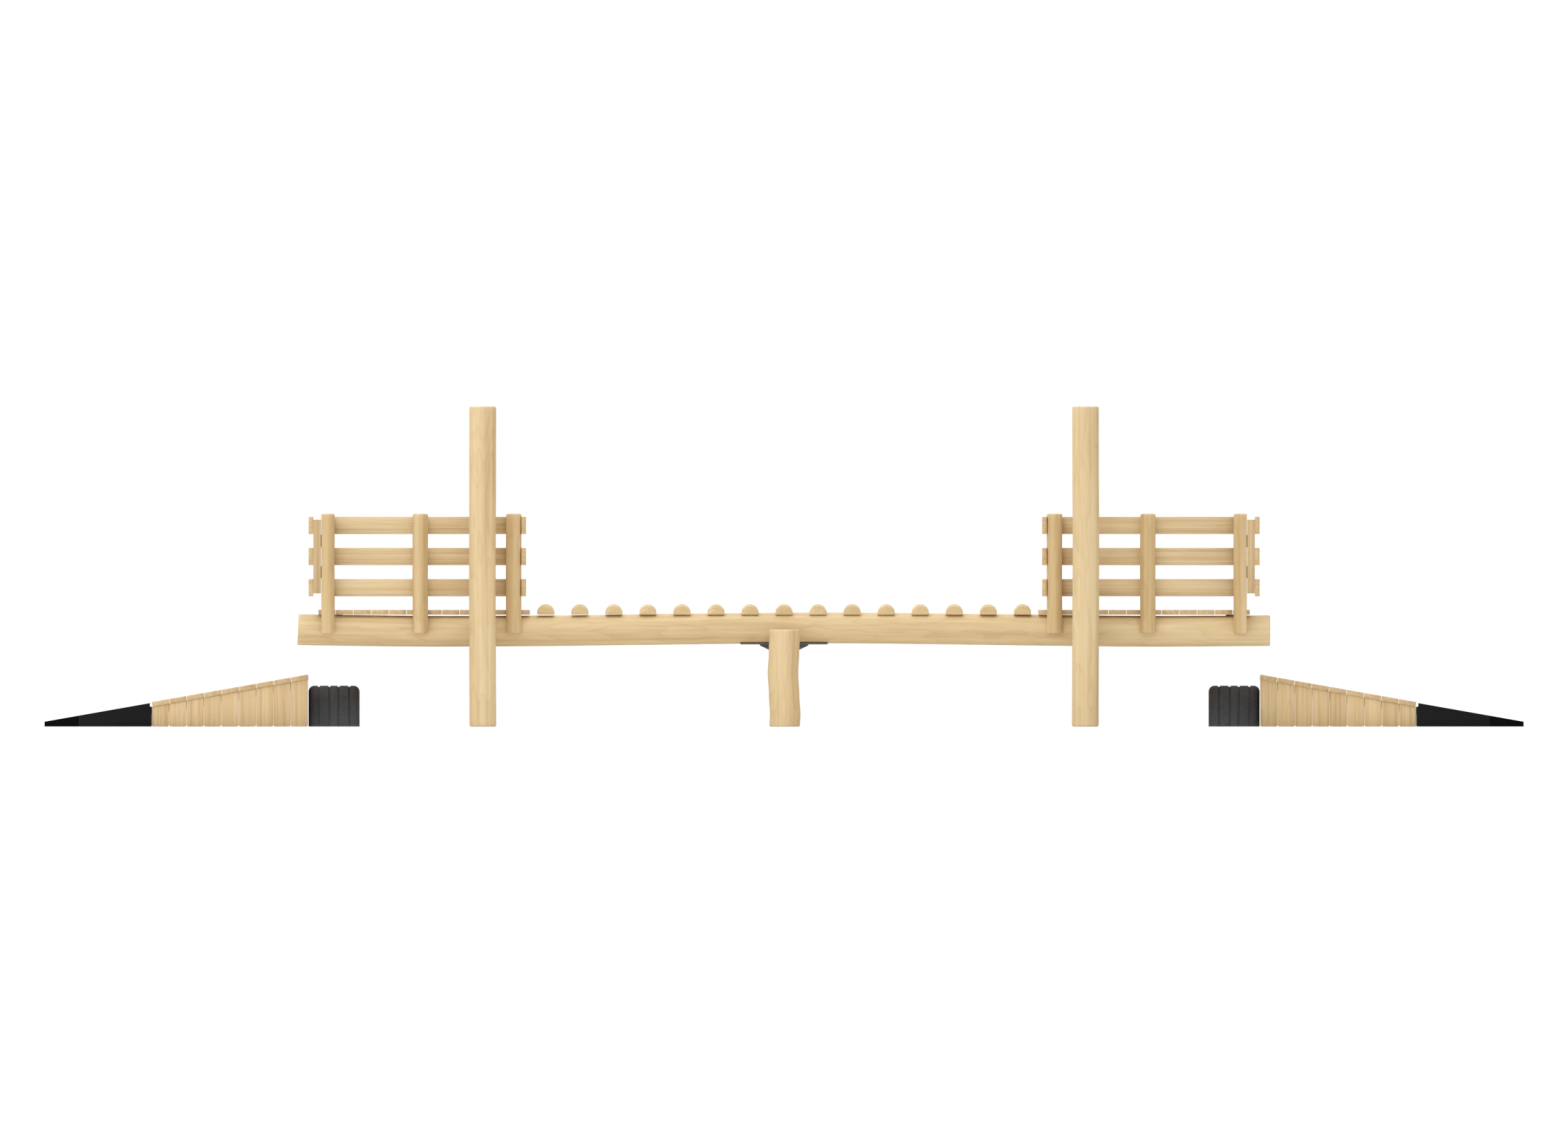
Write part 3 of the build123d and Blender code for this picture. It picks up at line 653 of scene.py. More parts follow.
beamSizes = {
    "endRound": 0.008, "ripple": 0.0016, "around": 72, "spacing": 0.03, "slant": 0.004,
    "bow": 0.009, "wave": 4.0, "crest": 0.18,
    "bendAcross": ((0, 2), (0.3, -3), (0.6, 2.5), (1, -2)),
}


def beamBends(low, high):
    bends = []
    for step in range(41):
        share = step / 40
        turn = 2 * math.pi * (low + (high - low) * share - beamSizes["crest"]) / beamSizes["wave"]
        bends.append((share, 1000 * beamSizes["bow"] * math.cos(turn)))
    return bends


for side in sides:
    node = "beam_" + side
    low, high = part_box(node)
    log = logFrom(
        node, beamSizes, along=0, radius=(high.z - low.z) / 2, bendUp=beamBends(low.x, high.x))
    place(logPiece("log" + side.capitalize(), [log], 11 + sides[side], peeledLog), "log", node)

centrePostSizes = {
    "radius": 0.0868, "endRound": 0.008, "ripple": 0.0012, "around": 64, "spacing": 0.012,
    "bendUp": ((0, 3), (0.4, -4), (1, 2)),
    "bendAcross": ((0, 3.3), (0.12, 6.6), (0.33, 0.5), (0.55, -6), (0.76, -0.5), (0.95, 3), (1, 3)),
}
for side in sides:
    node = "centre_post_" + side
    log = logFrom(node, centrePostSizes, along=2)
    piece = logPiece("centrePost" + side.capitalize(), [log], 21 + sides[side], peeledLog)
    place(piece, "log", node)

grabPostSizes = {"endRound": 0.01, "ripple": 0.0014, "around": 64, "spacing": 0.03}
for side in sides:
    for end in ends:
        node = "grab_post_{}_{}".format(side, end)
        low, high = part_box(node)
        lean = 2.0 * ends[end]
        log = logFrom(
            node, grabPostSizes, along=2, radius=(high.x - low.x) / 2 - grabPostSizes["ripple"],
            bendAcross=((0, -lean), (0.5, lean * 0.6), (1, -lean * 0.4)),
            bendUp=((0, 0), (0.4, -4 * sides[side]), (1, -1 * sides[side])))
        name = "grabPost" + side.capitalize() + end.capitalize()
        place(logPiece(name, [log], 31 + 4 * sides[side] + ends[end], peeledLog), "log", node)

fencePostSizes = {
    "radius": 0.0435, "endRound": 0.01, "ripple": 0.0009, "around": 44, "spacing": 0.022,
    "bendAcross": ((0, 0.6), (0.5, -0.8), (1, 0.5)),
    "fromDeckEnd": 0.049,
    "leafProud": 0.0006,  # the hinge leaves stand this far out of the flats
}
for end, sign in ends.items():
    node = "fence_posts_" + end
    low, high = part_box(node)
    flat = max(abs(low.x), abs(high.x)) - fencePostSizes["leafProud"]
    half = fencePostSizes["radius"]
    inner = min(abs(low.x), abs(high.x)) + half
    deckOuter = max(abs(edge.x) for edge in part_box("deck_boards_" + end))
    outer = deckOuter - fencePostSizes["fromDeckEnd"]
    posts = []
    for x in (inner, (inner + outer) / 2, outer):
        for y in (low.y + half, high.y - half):
            post = dict(
                fencePostSizes, along=2,
                low=[sign * x - half, y - half, low.z], high=[sign * x + half, y + half, high.z])
            if x == outer:
                post.update(flat=flat, flatSide=sign)
            posts.append(post)
    place(logPiece("fencePosts" + end.capitalize(), posts, 51 + sign, fenceLog), "log", node)
print("logs made")


# rows of boards

def boardRowTree():
    tree, given = newTree(
        "boardRow",
        int="count seed", vector="first step size play", material="finish")
    whole = (1.0, 1.0, 1.0)
    low = get(tree, "ShaderNodeVectorMath", {0: whole, 1: given["play"]}, operation="SUBTRACT")
    line = lineOf(given["count"], Start_Location=given["first"], Offset=given["step"])
    board = get(tree, "GeometryNodeMeshCube", {"Size": given["size"]})
    row = instanced(line, board, Scale=randomScale(low, whole, given["seed"]))
    return closeTree(tree, row, given["finish"])


boardRow = boardRowTree()


def boardPiece(name, node, look, seed, finish=sawnBoard):
    low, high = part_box(node)
    size = high - low
    axis = look["row"]
    count = look["count"]
    pitch = (size[axis] - look["width"]) / (count - 1)
    size[axis] = look["width"]
    first = (low + high) / 2
    first[axis] = low[axis] + look["width"] / 2
    step = Vector((0, 0, 0))
    step[axis] = pitch
    sizes = dict(look, first=first, step=step, size=size, seed=seed, finish=finish)
    piece = grow(name, boardRow, sizes)
    grainOfBoards(piece.data, seed, look["pith"])
    return place(piece, "board", node)


deckLook = {
    "count": 12, "row": 0, "width": 0.098, "play": (0.004, 0.0015, 0.02), "arris": 0.002,
    "pith": 0.09,
}
railLook = dict(deckLook, count=3, row=2, play=(0.0, 0.01, 0.006), pith=0.07)
endRailLook = dict(railLook, play=(0.01, 0.003, 0.006))
gateLook = dict(railLook, play=(0.01, 0.002, 0.006))
battenLook = dict(railLook, row=1, width=0.06, play=(0.0, 0.006, 0.003), pith=0.06)
for end, sign in ends.items():
    big = end.capitalize()
    boardPiece("deckBoards" + big, "deck_boards_" + end, deckLook, 101 + sign)
    boardPiece("endRails" + big, "end_rails_" + end, endRailLook, 111 + sign)
    boardPiece("gateBoards" + big, "gate_boards_" + end, gateLook, 121 + sign)
    boardPiece("gateBattens" + big, "gate_battens_" + end, battenLook, 131 + sign, battenShadedBoard)
    for side in sides:
        node = "side_rails_{}_{}".format(side, end)
        seed = 141 + 4 * sides[side] + sign
        boardPiece("sideRails" + side.capitalize() + big, node, railLook, seed)


# the ramps' treads lie on a slope, and their side boards stand on the ground and are cut to it

rampLook = {
    "count": 9, "gap": 0.0025, "sideGap": 0.001, "thickness": 0.027, "slope": math.radians(10),
    "chamfer": 0.006, "arris": 0.0018,
}


def rampSideTree():
    tree, given = newTree(
        "rampSide",
        int="count", float="first pitch gap thickness row top slope chamfer way",
        material="finish")
    width = given["pitch"] - given["gap"]
    board = get(tree, "GeometryNodeMeshCube", {
        "Size": join(width, given["thickness"], 1.0), "Vertices X": 4})
    line = lineOf(given["count"], Offset=join(given["pitch"], 0.0, 0.0))
    row = get(tree, "GeometryNodeRealizeInstances", {"Geometry": instanced(line, board)})
    x, y, z = positionIn(tree)
    index = calc("ROUND", x / given["pitch"])
    local = x - index * given["pitch"]
    outer = abs(local) > width * 0.3
    inner = 1.0 - outer
    drawn = calc("SIGN", local) * (width * 0.5 - given["chamfer"])
    local = local * outer + drawn * inner
    run = index * given["pitch"] + local
    topped = z > 0.0
    top = given["top"] - run * given["slope"]
    foot = outer * given["chamfer"]
    height = topped * top + (1.0 - topped) * foot
    place3d = join(given["way"] * (given["first"] + run), y + given["row"], height)
    return closeTree(tree, moved(row, place3d), given["finish"])


rampSide = rampSideTree()


def faceOutwards(mesh):
    shape = bmesh.new()
    shape.from_mesh(mesh)
    bmesh.ops.recalc_face_normals(shape, faces=shape.faces)
    shape.to_mesh(mesh)
    shape.free()


def rampTreadTree():
    tree, given = newTree(
        "rampTreads",
        int="count seed", float="pitch gap length thickness turn", vector="top",
        material="finish")
    width = given["pitch"] - given["gap"]
    tread = get(tree, "GeometryNodeMeshCube", {
        "Size": join(width, given["length"], given["thickness"])})
    line = lineOf(
        given["count"], Offset=join(given["pitch"], 0.0, 0.0),
        Start_Location=join(given["pitch"] * 0.5, 0.0, given["thickness"] * -0.5))
    play = randomScale((1.0, 0.998, 0.985), (1.0, 1.0, 1.0), given["seed"])
    laid = get(tree, "GeometryNodeTransform", {
        "Geometry": instanced(line, tread, Scale=play), "Translation": given["top"],
        "Rotation": join(0.0, given["turn"], 0.0)})
    return closeTree(tree, laid, given["finish"])


rampTreads = rampTreadTree()


def mirrorAcross(mesh):
    shape = bmesh.new()
    shape.from_mesh(mesh)
    bmesh.ops.scale(shape, verts=shape.verts, vec=(-1, 1, 1))
    bmesh.ops.reverse_faces(shape, faces=shape.faces)
    shape.to_mesh(mesh)
    shape.free()


rampLow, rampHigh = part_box("ramp_side_boards_right")
treadLow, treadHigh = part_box("ramp_deck_right")
slope = rampLook["slope"]
rampStart = rampLow.x
rampPitch = (rampHigh.x + rampLook["gap"] / 2 - rampStart) / rampLook["count"]
rampTop = Vector((rampStart, 0, rampHigh.z + rampLook["thickness"] / math.cos(slope)))
for end, sign in ends.items():
    big = end.capitalize()
    for side, way in sides.items():
        sizes = dict(
            rampLook, first=rampStart + rampPitch / 2, pitch=rampPitch, gap=rampLook["sideGap"],
            row=way * (rampHigh.y - rampLook["thickness"] / 2),
            top=rampHigh.z - math.tan(slope) * rampPitch / 2, slope=math.tan(slope),
            way=float(sign), finish=sawnBoard)
        piece = grow("rampSide" + side.capitalize() + big, rampSide, sizes)
        if sign < 0:
            faceOutwards(piece.data)
        grainOfBoards(piece.data, 161 + 4 * way + sign, 0.08, along=2)
        place(piece, "board", "ramp_side_boards_" + end)
    sizes = dict(
        rampLook, pitch=rampPitch / math.cos(slope), length=treadHigh.y - treadLow.y,
        top=rampTop, turn=slope, seed=171 + sign, finish=sawnBoard)
    piece = grow("rampTreads" + big, rampTreads, sizes)
    if sign < 0:
        mirrorAcross(piece.data)
    grainOfBoards(piece.data, 171 + sign, 0.09)
    place(piece, "board", "ramp_deck_" + end)

for name, node, seed in (
        ("bumperJoists", "bumper_joists", 181), ("crossJoists", "cross_joists", 182),
        ("rampStringersLeft", "ramp_stringers_left", 183),
        ("rampStringersRight", "ramp_stringers_right", 184)):
    piece = softened(name, node, sawnBoard, 0.002)
    grainOfBoards(piece.data, seed, 0.07)
    place(piece, "board", node)
print("boards made")


# half logs across the beams

halfLogLook = {
    "count": 15, "diameter": 0.099, "flat": 0.0105, "chamfer": 0.013, "drop": 0.014, "sides": 56,
    "rows": 14, "arris": 0.0014, "play": 0.02,
}


def halfLogTree():
    tree, given = newTree(
        "halfLogs",
        int="count sides rows seed", vector="first step",
        float="diameter length flat chamfer drop play", material="finish")
    half = given["length"] * 0.5
    log = get(tree, "GeometryNodeMeshCylinder", {
        "Vertices": given["sides"], "Side Segments": given["rows"], "Depth": given["length"],
        "Radius": given["diameter"] * 0.5})
    turned = get(tree, "GeometryNodeTransform", {
        "Geometry": log, "Rotation": (math.radians(90), 0.0, 0.0)})
    x, y, z = positionIn(tree)
    rows = given["rows"] * 1.0
    outermost = 1.0 - 1.0 / rows
    share = abs(y) / half
    atEnd = share > outermost
    inside = 1.0 - atEnd
    lastRow = half * (1.0 - 2.0 / rows)
    ratio = (half - given["chamfer"]) / lastRow
    alongLog = y * atEnd + y * ratio * inside
    lowered = z - atEnd * given["drop"]
    height = calc("MAXIMUM", lowered, given["flat"] * -1.0)
    halved = moved(turned, join(x, alongLog, height))
    line = lineOf(given["count"], Start_Location=given["first"], Offset=given["step"])
    size = randomFloat(1.0 - given["play"], 1.0, given["seed"])
    row = instanced(line, halved, Scale=join(size, 1.0, size))
    return closeTree(tree, row, given["finish"])


stepLow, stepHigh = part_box("half_log_steps")
firstStep = stepLow.x + halfLogLook["diameter"] / 2
stepPitch = (stepHigh.x - stepLow.x - halfLogLook["diameter"]) / (halfLogLook["count"] - 1)
halfLogs = grow("halfLogs", halfLogTree(), dict(
    halfLogLook, first=(firstStep, 0.0, stepLow.z + halfLogLook["flat"]), step=(stepPitch, 0.0, 0.0),
    length=stepHigh.y - stepLow.y, seed=7, finish=halfLogWood))
grainOfBoards(halfLogs.data, 191, 0.02)
place(halfLogs, "log", "half_log_steps")
print("half logs made")


# screws and bolts stand where the CAD ones do

def fastenerPoints(node):
    mesh = meshFrom(mergedShape(node), node)
    points = pointsOf(mesh)
    island = islandsOf(mesh)
    heads, aims = [], []
    for index in range(island.max() + 1):
        mine = points[island == index]
        middle = mine.mean(0)
        axis = np.linalg.svd(mine - middle, full_matrices=False)[2][0]
        travel = (mine - middle) @ axis
        radial = np.linalg.norm(mine - middle - np.outer(travel, axis), axis=1)
        span = travel.max() - travel.min()
        wideHigh = radial[travel > travel.max() - span * 0.05].max()
        wideLow = radial[travel < travel.min() + span * 0.05].max()
        if wideLow > wideHigh:
            axis, travel = -axis, -travel
        heads.append(mine[travel > travel.max() - 0.0003].mean(0))
        aims.append(axis)
    base = bpy.data.meshes.new(node + "Points")
    base.from_pydata([tuple(head) for head in heads], [], [])
    aim = base.attributes.new("aim", "FLOAT_VECTOR", "POINT")
    aim.data.foreach_set("vector", np.array(aims).ravel())
    return base


def standOn(tree, given, shape):
    aim = get(tree, "GeometryNodeInputNamedAttribute", {"Name": "aim"}, data_type="FLOAT_VECTOR")
    facing = get(tree, "FunctionNodeAlignRotationToVector", {"Vector": aim}, axis="Z")
    row = instanced(given["base"], shape, Rotation=facing)
    spin = join(0.0, 0.0, randomFloat(0.0, 2 * math.pi, given["seed"]))
    spun = get(tree, "GeometryNodeRotateInstances", {"Instances": row, "Rotation": spin})
    return closeTree(tree, spun, given["finish"])


def screwTree():
    tree, given = newTree(
        "woodScrew",
        geometry="base", float="head headHeight shank length tip recess depth lobe",
        int="seed", material="finish")
    head = given["head"] * 0.5
    blank = get(tree, "GeometryNodeMeshCylinder", {
        "Vertices": 12, "Side Segments": 1, "Fill Segments": 2, "Radius": head,
        "Depth": given["headHeight"]}, fill_type="TRIANGLE_FAN")
    x, y, z = positionIn(tree)
    reach = calc("SQRT", x * x + y * y)
    share = reach / head
    angle = calc("ARCTAN2", y, x)
    lobe = calc("COSINE", angle * 6.0)
    socket = given["recess"] * 0.5 * (1.0 + lobe * given["lobe"])
    upper = z > 0.0
    lower = 1.0 - upper
    shank = given["shank"] * 0.5
    topReach = spread(share, 0.5, 1.0, socket, head)
    centred = share > 0.25
    newReach = centred * (upper * topReach + lower * shank)
    topHeight = spread(share, 0.0, 0.5, given["depth"] * -1.0, 0.0)
    rim = share > 0.75
    tipStart = given["tip"] - given["length"]
    inShank = spread(share, 0.0, 0.5, given["length"] * -1.0, tipStart)
    lowHeight = inShank * (1.0 - rim) - rim * given["headHeight"]
    height = upper * topHeight + lower * lowHeight
    place3d = join(newReach * calc("COSINE", angle), newReach * calc("SINE", angle), height)
    return standOn(tree, given, moved(blank, place3d))


def boltTree():
    tree, given = newTree(
        "hexBolt",
        geometry="base", float="across headHeight washer washerHeight shank length",
        int="seed", material="finish")
    corner = given["across"] * (0.5 / math.cos(math.radians(30)))
    low = given["headHeight"] * -1.0
    discs = (
        (6, corner, 0.0, given["headHeight"] - given["washerHeight"]),
        (28, given["washer"] * 0.5, low + given["washerHeight"], given["washerHeight"]),
        (12, given["shank"] * 0.5, low, given["length"] - given["headHeight"]))
    parts = []
    for corners, radius, top, depth in discs:
        sockets = {"Vertices": corners, "Radius": radius, "Depth": depth}
        disc = get(tree, "GeometryNodeMeshCylinder", sockets)
        middle = join(0.0, 0.0, top - depth * 0.5)
        parts.append(get(tree, "GeometryNodeTransform", {"Geometry": disc, "Translation": middle}))
    return standOn(tree, given, gather(*parts))


woodScrew = screwTree()
hexBolt = boltTree()
screwSizes = {
    "head": 0.012, "headHeight": 0.005, "shank": 0.006, "length": 0.025, "tip": 0.007,
    "recess": 0.0062, "depth": 0.0028, "lobe": 0.16, "finish": screwSteel,
}
screwNodes = {
    "deckScrews": "deck_screws", "stepScrews": "step_screws", "fenceScrews": "fence_screws",
    "bracketScrews": "bracket_screws", "rampScrews": "ramp_screws",
    "gateScrewsLeft": "gate_screws_left", "gateScrewsRight": "gate_screws_right",
}
for seed, (name, node) in enumerate(screwNodes.items()):
    piece = grow(name, woodScrew, dict(screwSizes, seed=seed), base=fastenerPoints(node))
    place(piece, "screw_steel", node)
boltSizes = {
    "across": 0.019, "headHeight": 0.008, "washer": 0.03, "washerHeight": 0.0016, "shank": 0.012,
    "length": 0.1, "arris": 0.0006, "seed": 3, "finish": galvanisedSteel,
}
piece = grow("postBolts", hexBolt, boltSizes, base=fastenerPoints("post_bolts"))
place(piece, "galvanised_steel", "post_bolts")
print("screws and bolts made")


# steel fittings

for side in sides:
    node = "pivot_bracket_" + side
    piece = softened("pivotBracket" + side.capitalize(), node, bracketSteel, 0.001)
    place(piece, "bracket_steel", node)
place(softened("postHingeLeaves", "post_hinge_leaves", galvanisedSteel, 0.0006), "galvanised_steel",
      "post_hinge_leaves")
place(softened("latchKeepers", "latch_keepers", galvanisedSteel, 0.0008), "galvanised_steel",
      "latch_keepers")
for end in ends:
    big = end.capitalize()
    for name, node, width in (
            ("gateHingeLeaves", "gate_hinge_leaves_", 0.0006),
            ("latchHousing", "latch_housing_", 0.0012), ("latchBolt", "latch_bolt_", 0.0012)):
        piece = softened(name + big, node + end, galvanisedSteel, width)
        place(piece, "galvanised_steel", node + end)
for node in ("axle", "axle_collars", "hinge_pins"):
    dress(node, galvanisedSteel)
dress("bearing_bushes", bushPlastic)
print("fittings made")


# buffer tyres: a carcass with its grooves and centre rib, and rows of tread blocks parted by sipes

tyreLow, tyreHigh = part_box("buffer_tyre_right")
tyreShape = {
    "radius": 0.525, "shoulder": 0.033, "groove": 0.006, "centreRib": 0.0197, "sidewall": 0.018,
    "tread": 0.035, "rows": 96, "outerRings": (0.335, 0.342, 0.455, 0.468), "ringProud": 0.0012,
}
tyreHalf = (tyreHigh.x - tyreLow.x) / 2
tyreMiddle = (tyreHigh.x + tyreLow.x) / 2
tyreGround = tyreShape["radius"] - tyreHigh.z


def tyreOutline():
    radius, groove, shoulder = tyreShape["radius"], tyreShape["groove"], tyreShape["shoulder"]
    rib = tyreShape["centreRib"]
    side = tyreHalf - tyreShape["ringProud"]
    outline = [(0.0, radius), (rib, radius), (rib + 0.0008, radius - groove)]
    flatEnd = tyreHalf - shoulder
    for step in range(7):
        turn = math.radians(15 * step)
        outline.append((flatEnd + (shoulder - groove) * math.sin(turn),
                        radius - shoulder + (shoulder - groove) * math.cos(turn)))
    outline.append((side, radius - shoulder - 0.001))
    for ring in reversed(tyreShape["outerRings"]):
        outline += [(side, ring + 0.0015), (tyreHalf, ring + 0.0007),
                    (tyreHalf, ring - 0.0007), (side, ring - 0.0015)]
    outline += [(side, tyreGround + 0.02), (side, tyreGround + 0.0002)]
    inner = tyreHalf - tyreShape["sidewall"]
    cavity = radius - tyreShape["tread"]
    outline += [(inner, tyreGround + rise) for rise in (0.0002, 0.02, 0.07)]
    outline += [(inner, cavity - 0.03), (inner - 0.03, cavity), (0.0, cavity)]
    return outline


def carcassMesh(name):
    right = tyreOutline()
    loop = right + [(-x, r) for x, r in reversed(right)][1:-1]
    widest = math.acos(tyreGround / tyreShape["radius"])
    rows = tyreShape["rows"]
    points, faces = [], []
    for row in range(rows + 1):
        turn = widest * (2 * row / rows - 1)
        for x, r in loop:
            limit = math.acos(min(tyreGround / r, 1.0))
            held = min(max(turn, -limit), limit)
            points.append((x, r * math.sin(held), r * math.cos(held) - tyreGround))
    count = len(loop)
    for row in range(rows):
        for step in range(count):
            following = (step + 1) % count
            faces.append((row * count + step, (row + 1) * count + step,
                          (row + 1) * count + following, row * count + following))
    faces.append(tuple(range(count)))
    faces.append(tuple(reversed(range(rows * count, (rows + 1) * count))))
    shape = bmesh.new()
    mesh = bpy.data.meshes.new(name)
    mesh.from_pydata(points, [], faces)
    shape.from_mesh(mesh)
    bmesh.ops.remove_doubles(shape, verts=shape.verts, dist=1e-5)
    bmesh.ops.dissolve_degenerate(shape, dist=1e-6, edges=shape.edges)
    bmesh.ops.recalc_face_normals(shape, faces=shape.faces)
    shape.to_mesh(mesh)
    shape.free()
    smoothen(mesh)
    mesh.set_sharp_from_angle(angle=math.radians(30))
    mesh.materials.append(tyreRubber)
    return mesh


# rows of raked blocks bent round the tyre, parted by sipes that close before the shoulder's edge
def treadTree():
    tree, given = newTree(
        "treadRow",
        geometry="base", int="count columns steps",
        float="first pitch low high rake sipe closed reach halfWidth shoulder"
        " radius depth ground",
        material="finish")
    x, y, z = positionIn(tree)
    flatEnd = given["halfWidth"] - given["shoulder"]
    run = spread(x, -0.5, 0.5, given["low"], given["high"])
    flat = calc("MINIMUM", run, flatEnd)
    turn = calc("MAXIMUM", run - flatEnd, 0.0) / given["shoulder"]
    sunk = (z < 0.0) * given["depth"]
    bend = given["shoulder"] - sunk
    across = flat + bend * calc("SINE", turn)
    reach = given["radius"] - given["shoulder"] + bend * calc("COSINE", turn)
    rake = given["rake"] * (flat - given["low"]) / given["radius"]
    opened = run < flatEnd + given["reach"]
    gap = given["closed"] + opened * given["sipe"]
    edge = gap / (given["radius"] * 2.0)
    arc = given["pitch"] - edge * 2.0
    following = rake + edge + (y + 0.5) * arc
    crowning = y * 2.0 * (given["first"] + rake - edge)

    def bentBlock(angle):
        block = get(tree, "GeometryNodeMeshCube", {
            "Size": (1.0, 1.0, 1.0), "Vertices X": given["columns"], "Vertices Y": given["steps"]})
        return moved(block, join(across, reach * calc("SINE", angle), reach * calc("COSINE", angle)))

    def mirrored(geometry, scale):
        sockets = {"Geometry": geometry, "Scale": scale}
        return gather(geometry, get(tree, "GeometryNodeTransform", sockets))

    line = lineOf(given["count"], Offset=(0.0, 0.0, 0.0))
    index = get(tree, "GeometryNodeInputIndex")
    spin = -1.0 * (given["first"] + index * given["pitch"])
    row = instanced(line, bentBlock(following), Rotation=join(spin, 0.0, 0.0))
    quarter = gather(mirrored(row, (1.0, -1.0, 1.0)), bentBlock(crowning))
    blocks = mirrored(quarter, (-1.0, 1.0, 1.0))
    real = get(tree, "GeometryNodeRealizeInstances", {"Geometry": blocks})

    # what would be below the ground is drawn back round the tyre to it
    radial = calc("SQRT", y * y + z * z)
    limit = calc("ARCCOSINE", calc("MINIMUM", given["ground"] / radial, 1.0))
    held = calc("MINIMUM", calc("ARCTAN2", y, z), limit)
    held = calc("MAXIMUM", held, limit * -1.0)
    place3d = join(x, radial * calc("SINE", held), radial * calc("COSINE", held) - given["ground"])
    tyre = gather(moved(real, place3d), given["base"])
    return closeTree(tree, tyre, given["finish"])


treadRow = treadTree()
treadSizes = dict(
    tyreShape, halfWidth=tyreHalf, depth=tyreShape["groove"] + 0.001, ground=tyreGround,
    reach=0.013, closed=0.0001, columns=9, steps=7, finish=tyreRubber)
treadRows = (
    {"count": 7, "first": math.radians(7.5), "pitch": math.radians(7.7), "low": 0.0324,
     "high": 0.0806, "rake": 0.735, "sipe": 0.0017},
    {"count": 9, "first": math.radians(6.4), "pitch": math.radians(5.85), "low": 0.0928,
     "high": tyreHalf + tyreShape["shoulder"] * (math.pi / 2 - 1), "rake": 0.336, "sipe": 0.0015},
)


def tyrePiece(end, sign):
    mesh, piece = carcassMesh("tyre"), None
    for sizes in treadRows:
        if piece:
            bpy.data.objects.remove(piece)
        sizes = dict(treadSizes, **sizes)
        piece = grow("bufferTyre" + end.capitalize(), treadRow, sizes, base=mesh)
        mesh = piece.data
    faceOutwards(mesh)
    mesh.transform(Matrix.Translation((sign * tyreMiddle, 0, 0)))
    return place(piece, "tyre_rubber", "buffer_tyre_" + end)


for end, sign in ends.items():
    tyrePiece(end, sign)
print("tyres made")


# rubber wedges at the ramps' feet, grooved across

wedgeShape = {
    "groovePitch": 0.03, "grooveWidth": 0.006, "grooveDepth": 0.0018, "notch": (0.01, 0.02),
    "firstGroove": 0.012, "grooveEase": 0.001, "arris": 0.0007, "margin": 0.02, "ease": 0.0015,
}
wedgeLow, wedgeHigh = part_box("rubber_wedge_right")
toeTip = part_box("rubber_toe_right")[1].x
notchWidth, notchDepth = wedgeShape["notch"]


def wedgeHeight(x):
    return wedgeHigh.z - (x - wedgeLow.x - notchWidth) * math.tan(slope)


def grooved(start, end, depth):
    outline = []
    first, ease = start + wedgeShape["firstGroove"], wedgeShape["grooveEase"]
    for index in range(int((end - first) / wedgeShape["groovePitch"])):
        left = first + wedgeShape["groovePitch"] * (index + 0.3)
        right = left + wedgeShape["grooveWidth"]
        outline += [(left, wedgeHeight(left)), (left + ease, wedgeHeight(left + ease) - depth),
                    (right - ease, wedgeHeight(right - ease) - depth), (right, wedgeHeight(right))]
    return outline


def wedgeOutline(depth):
    start, joint = wedgeLow.x + notchWidth, wedgeHigh.x
    outline = [(wedgeLow.x, 0.0), (joint, 0.0), (joint, wedgeHeight(joint))]
    outline += list(reversed(grooved(start, joint, depth)))
    notchFloor = wedgeHigh.z - notchDepth
    return outline + [(start, wedgeHigh.z), (start, notchFloor), (wedgeLow.x, notchFloor)]


def toeOutline(depth):
    start = wedgeHigh.x
    outline = [(start, 0.0), (toeTip, 0.0), (toeTip, wedgeHeight(toeTip))]
    return outline + list(reversed(grooved(start, toeTip, depth))) + [(start, wedgeHeight(start))]


# the grooves stop short of both sides, so a piece runs from a plain outline through a grooved one
def loftPiece(name, outlineOf, sign, finish):
    plain, cut = outlineOf(0.0), outlineOf(wedgeShape["grooveDepth"])
    margin, ease = wedgeShape["margin"], wedgeShape["ease"]
    low, high = wedgeLow.y, wedgeHigh.y
    stations = (
        (low, plain), (low + margin, plain), (low + margin + ease, cut),
        (high - margin - ease, cut), (high - margin, plain), (high, plain))
    shape = bmesh.new()
    rings = [[shape.verts.new((sign * x, y, z)) for x, z in outline] for y, outline in stations]
    for near, far in zip(rings, rings[1:]):
        for index in range(len(near)):
            following = (index + 1) % len(near)
            shape.faces.new((near[index], far[index], far[following], near[following]))
    shape.faces.new(rings[0])
    shape.faces.new(list(reversed(rings[-1])))
    bmesh.ops.recalc_face_normals(shape, faces=shape.faces)
    piece = newPiece(name, meshFrom(shape, name))
    addBevel(piece, wedgeShape["arris"], 50)
    settleMesh(piece)
    piece.data.materials.append(finish)
    smoothen(piece.data)
    return piece


for end, sign in ends.items():
    for name, node, outlineOf, finish in (
            ("rubberWedge", "rubber_wedge_", wedgeOutline, wedgeRubber),
            ("rubberToe", "rubber_toe_", toeOutline, toeShadedRubber)):
        piece = loftPiece(name + end.capitalize(), outlineOf, sign, finish)
        place(piece, "ramp_rubber", node + end)
print("wedges made")


# floor, light and camera

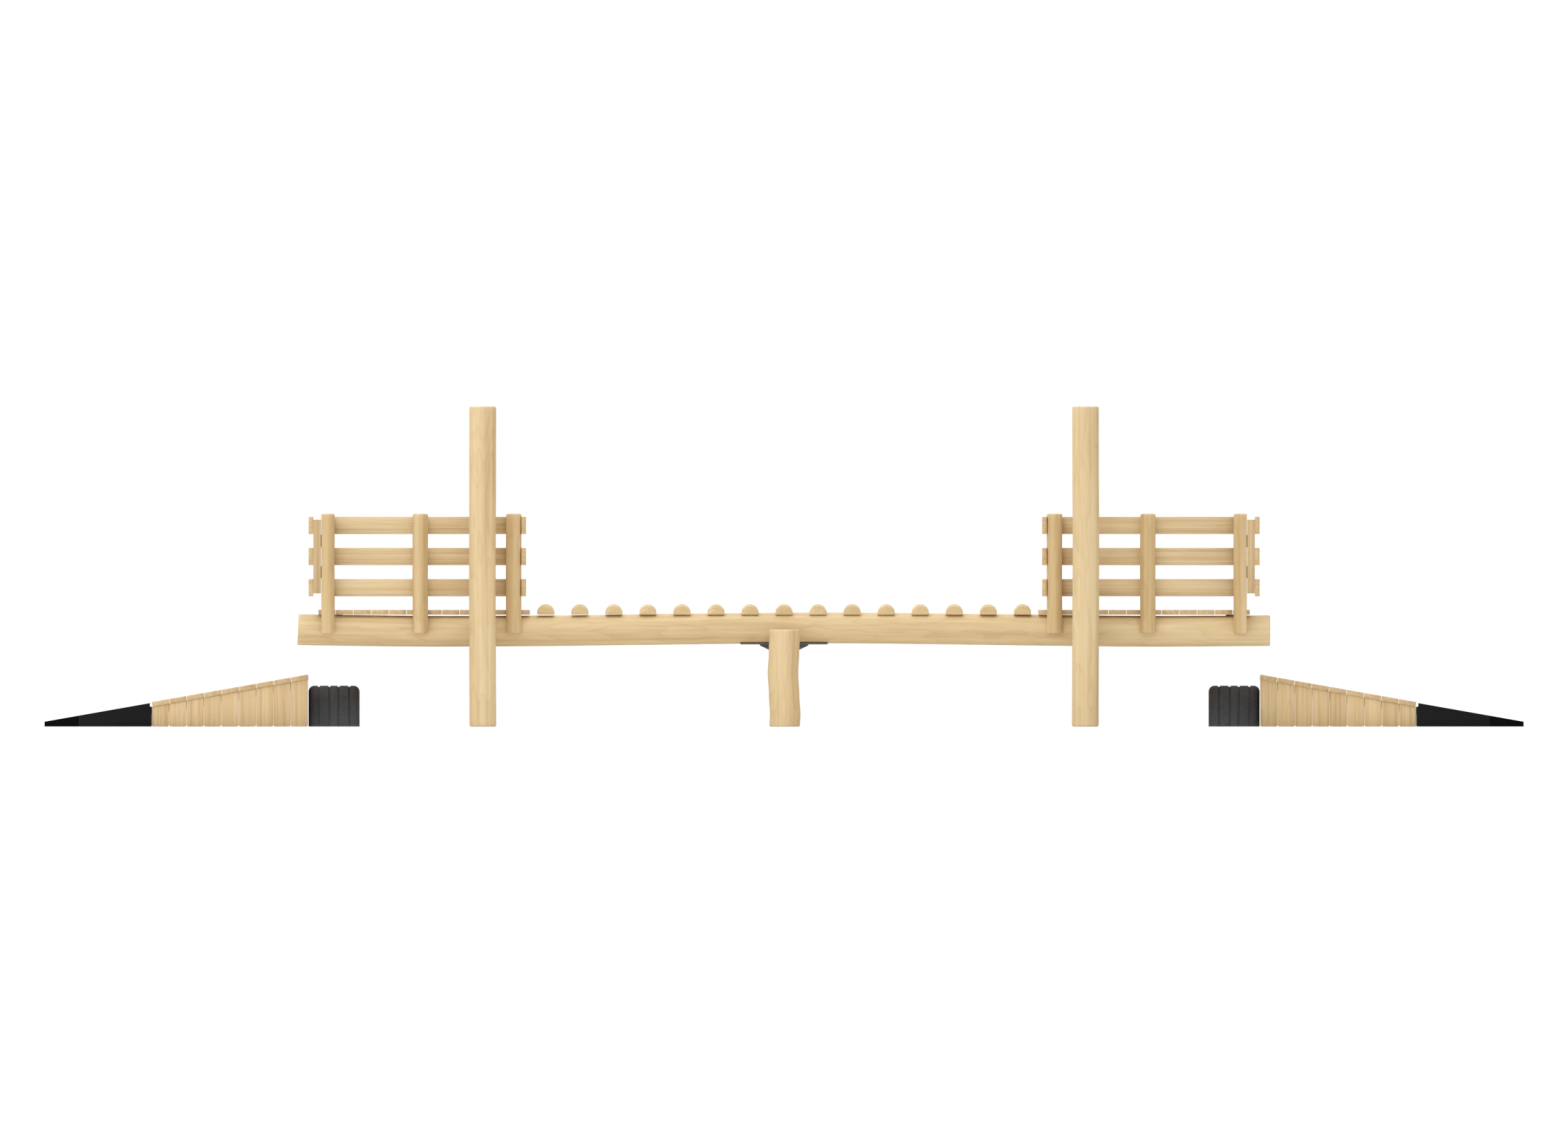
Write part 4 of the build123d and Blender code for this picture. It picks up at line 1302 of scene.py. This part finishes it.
def makeStage():
    bpy.ops.mesh.primitive_plane_add(size=60)
    floor = bpy.context.object
    floor.name = "floor"
    floor.location.z = -0.0005
    material, tree, shader = newMaterial("paleFloor")
    place3d = get(tree, "ShaderNodeTexCoord", output="Object")
    shade = cloud(place3d, 30.0, 3.0)
    colour = ramped(shade, ((0.3, tone(242, 242, 241)), (0.7, tone(245, 245, 244))))
    feed(shader, Base_Color=colour)
    shader.inputs["Roughness"].default_value = 0.85
    floor.data.materials.append(material)


makeStage()

lightLook = {"low": 0.41, "rise": 1.18, "left": 0.19, "backdrop": 1.02, "key": 108.0}


def areaLight(name, place3d, target, size, power):
    light = bpy.data.lights.new(name, "AREA")
    light.shape = "RECTANGLE"
    light.size, light.size_y = size
    light.energy = power
    lamp = bpy.data.objects.new(name, light)
    bpy.context.scene.collection.objects.link(lamp)
    lamp.location = place3d
    lamp.rotation_euler = (Vector(target) - Vector(place3d)).to_track_quat("-Z", "Y").to_euler()


areaLight("keyLight", (-3.0, -5.5, 7.0), (0, 0, 0.5), (7.0, 4.0), lightLook["key"])

world = bpy.data.worlds.new("studio")
bpy.context.scene.world = world
world.use_nodes = True
sky = world.node_tree
sky.nodes.clear()
toward = split(get(sky, "ShaderNodeTexCoord", output="Generated"))
glow = lightLook["low"] + calc("MAXIMUM", toward[2], 0.0) * lightLook["rise"]
glow = glow - toward[0] * lightLook["left"]
seen = get(sky, "ShaderNodeLightPath", output="Is Camera Ray")
strength = glow * (1.0 - seen) + seen * lightLook["backdrop"]
white = (1.0, 1.0, 1.0, 1.0)
background = get(sky, "ShaderNodeBackground", {"Color": white, "Strength": strength})
put(sky, "ShaderNodeOutputWorld", {"Surface": background})
bpy.context.scene.view_settings.view_transform = "Standard"

cameraLook = {"width": 8.913, "height": 0.910, "away": 12.0, "shift": -0.0005}
cameraData = bpy.data.cameras.new("view")
cameraData.type = "ORTHO"
cameraData.ortho_scale = cameraLook["width"]
cameraData.clip_end = 60
camera = bpy.data.objects.new("view", cameraData)
camera.location = (cameraLook["shift"], -cameraLook["away"], cameraLook["height"])
camera.rotation_euler = (math.radians(90), 0, 0)
bpy.context.scene.collection.objects.link(camera)
bpy.context.scene.camera = camera

print("scene ready")
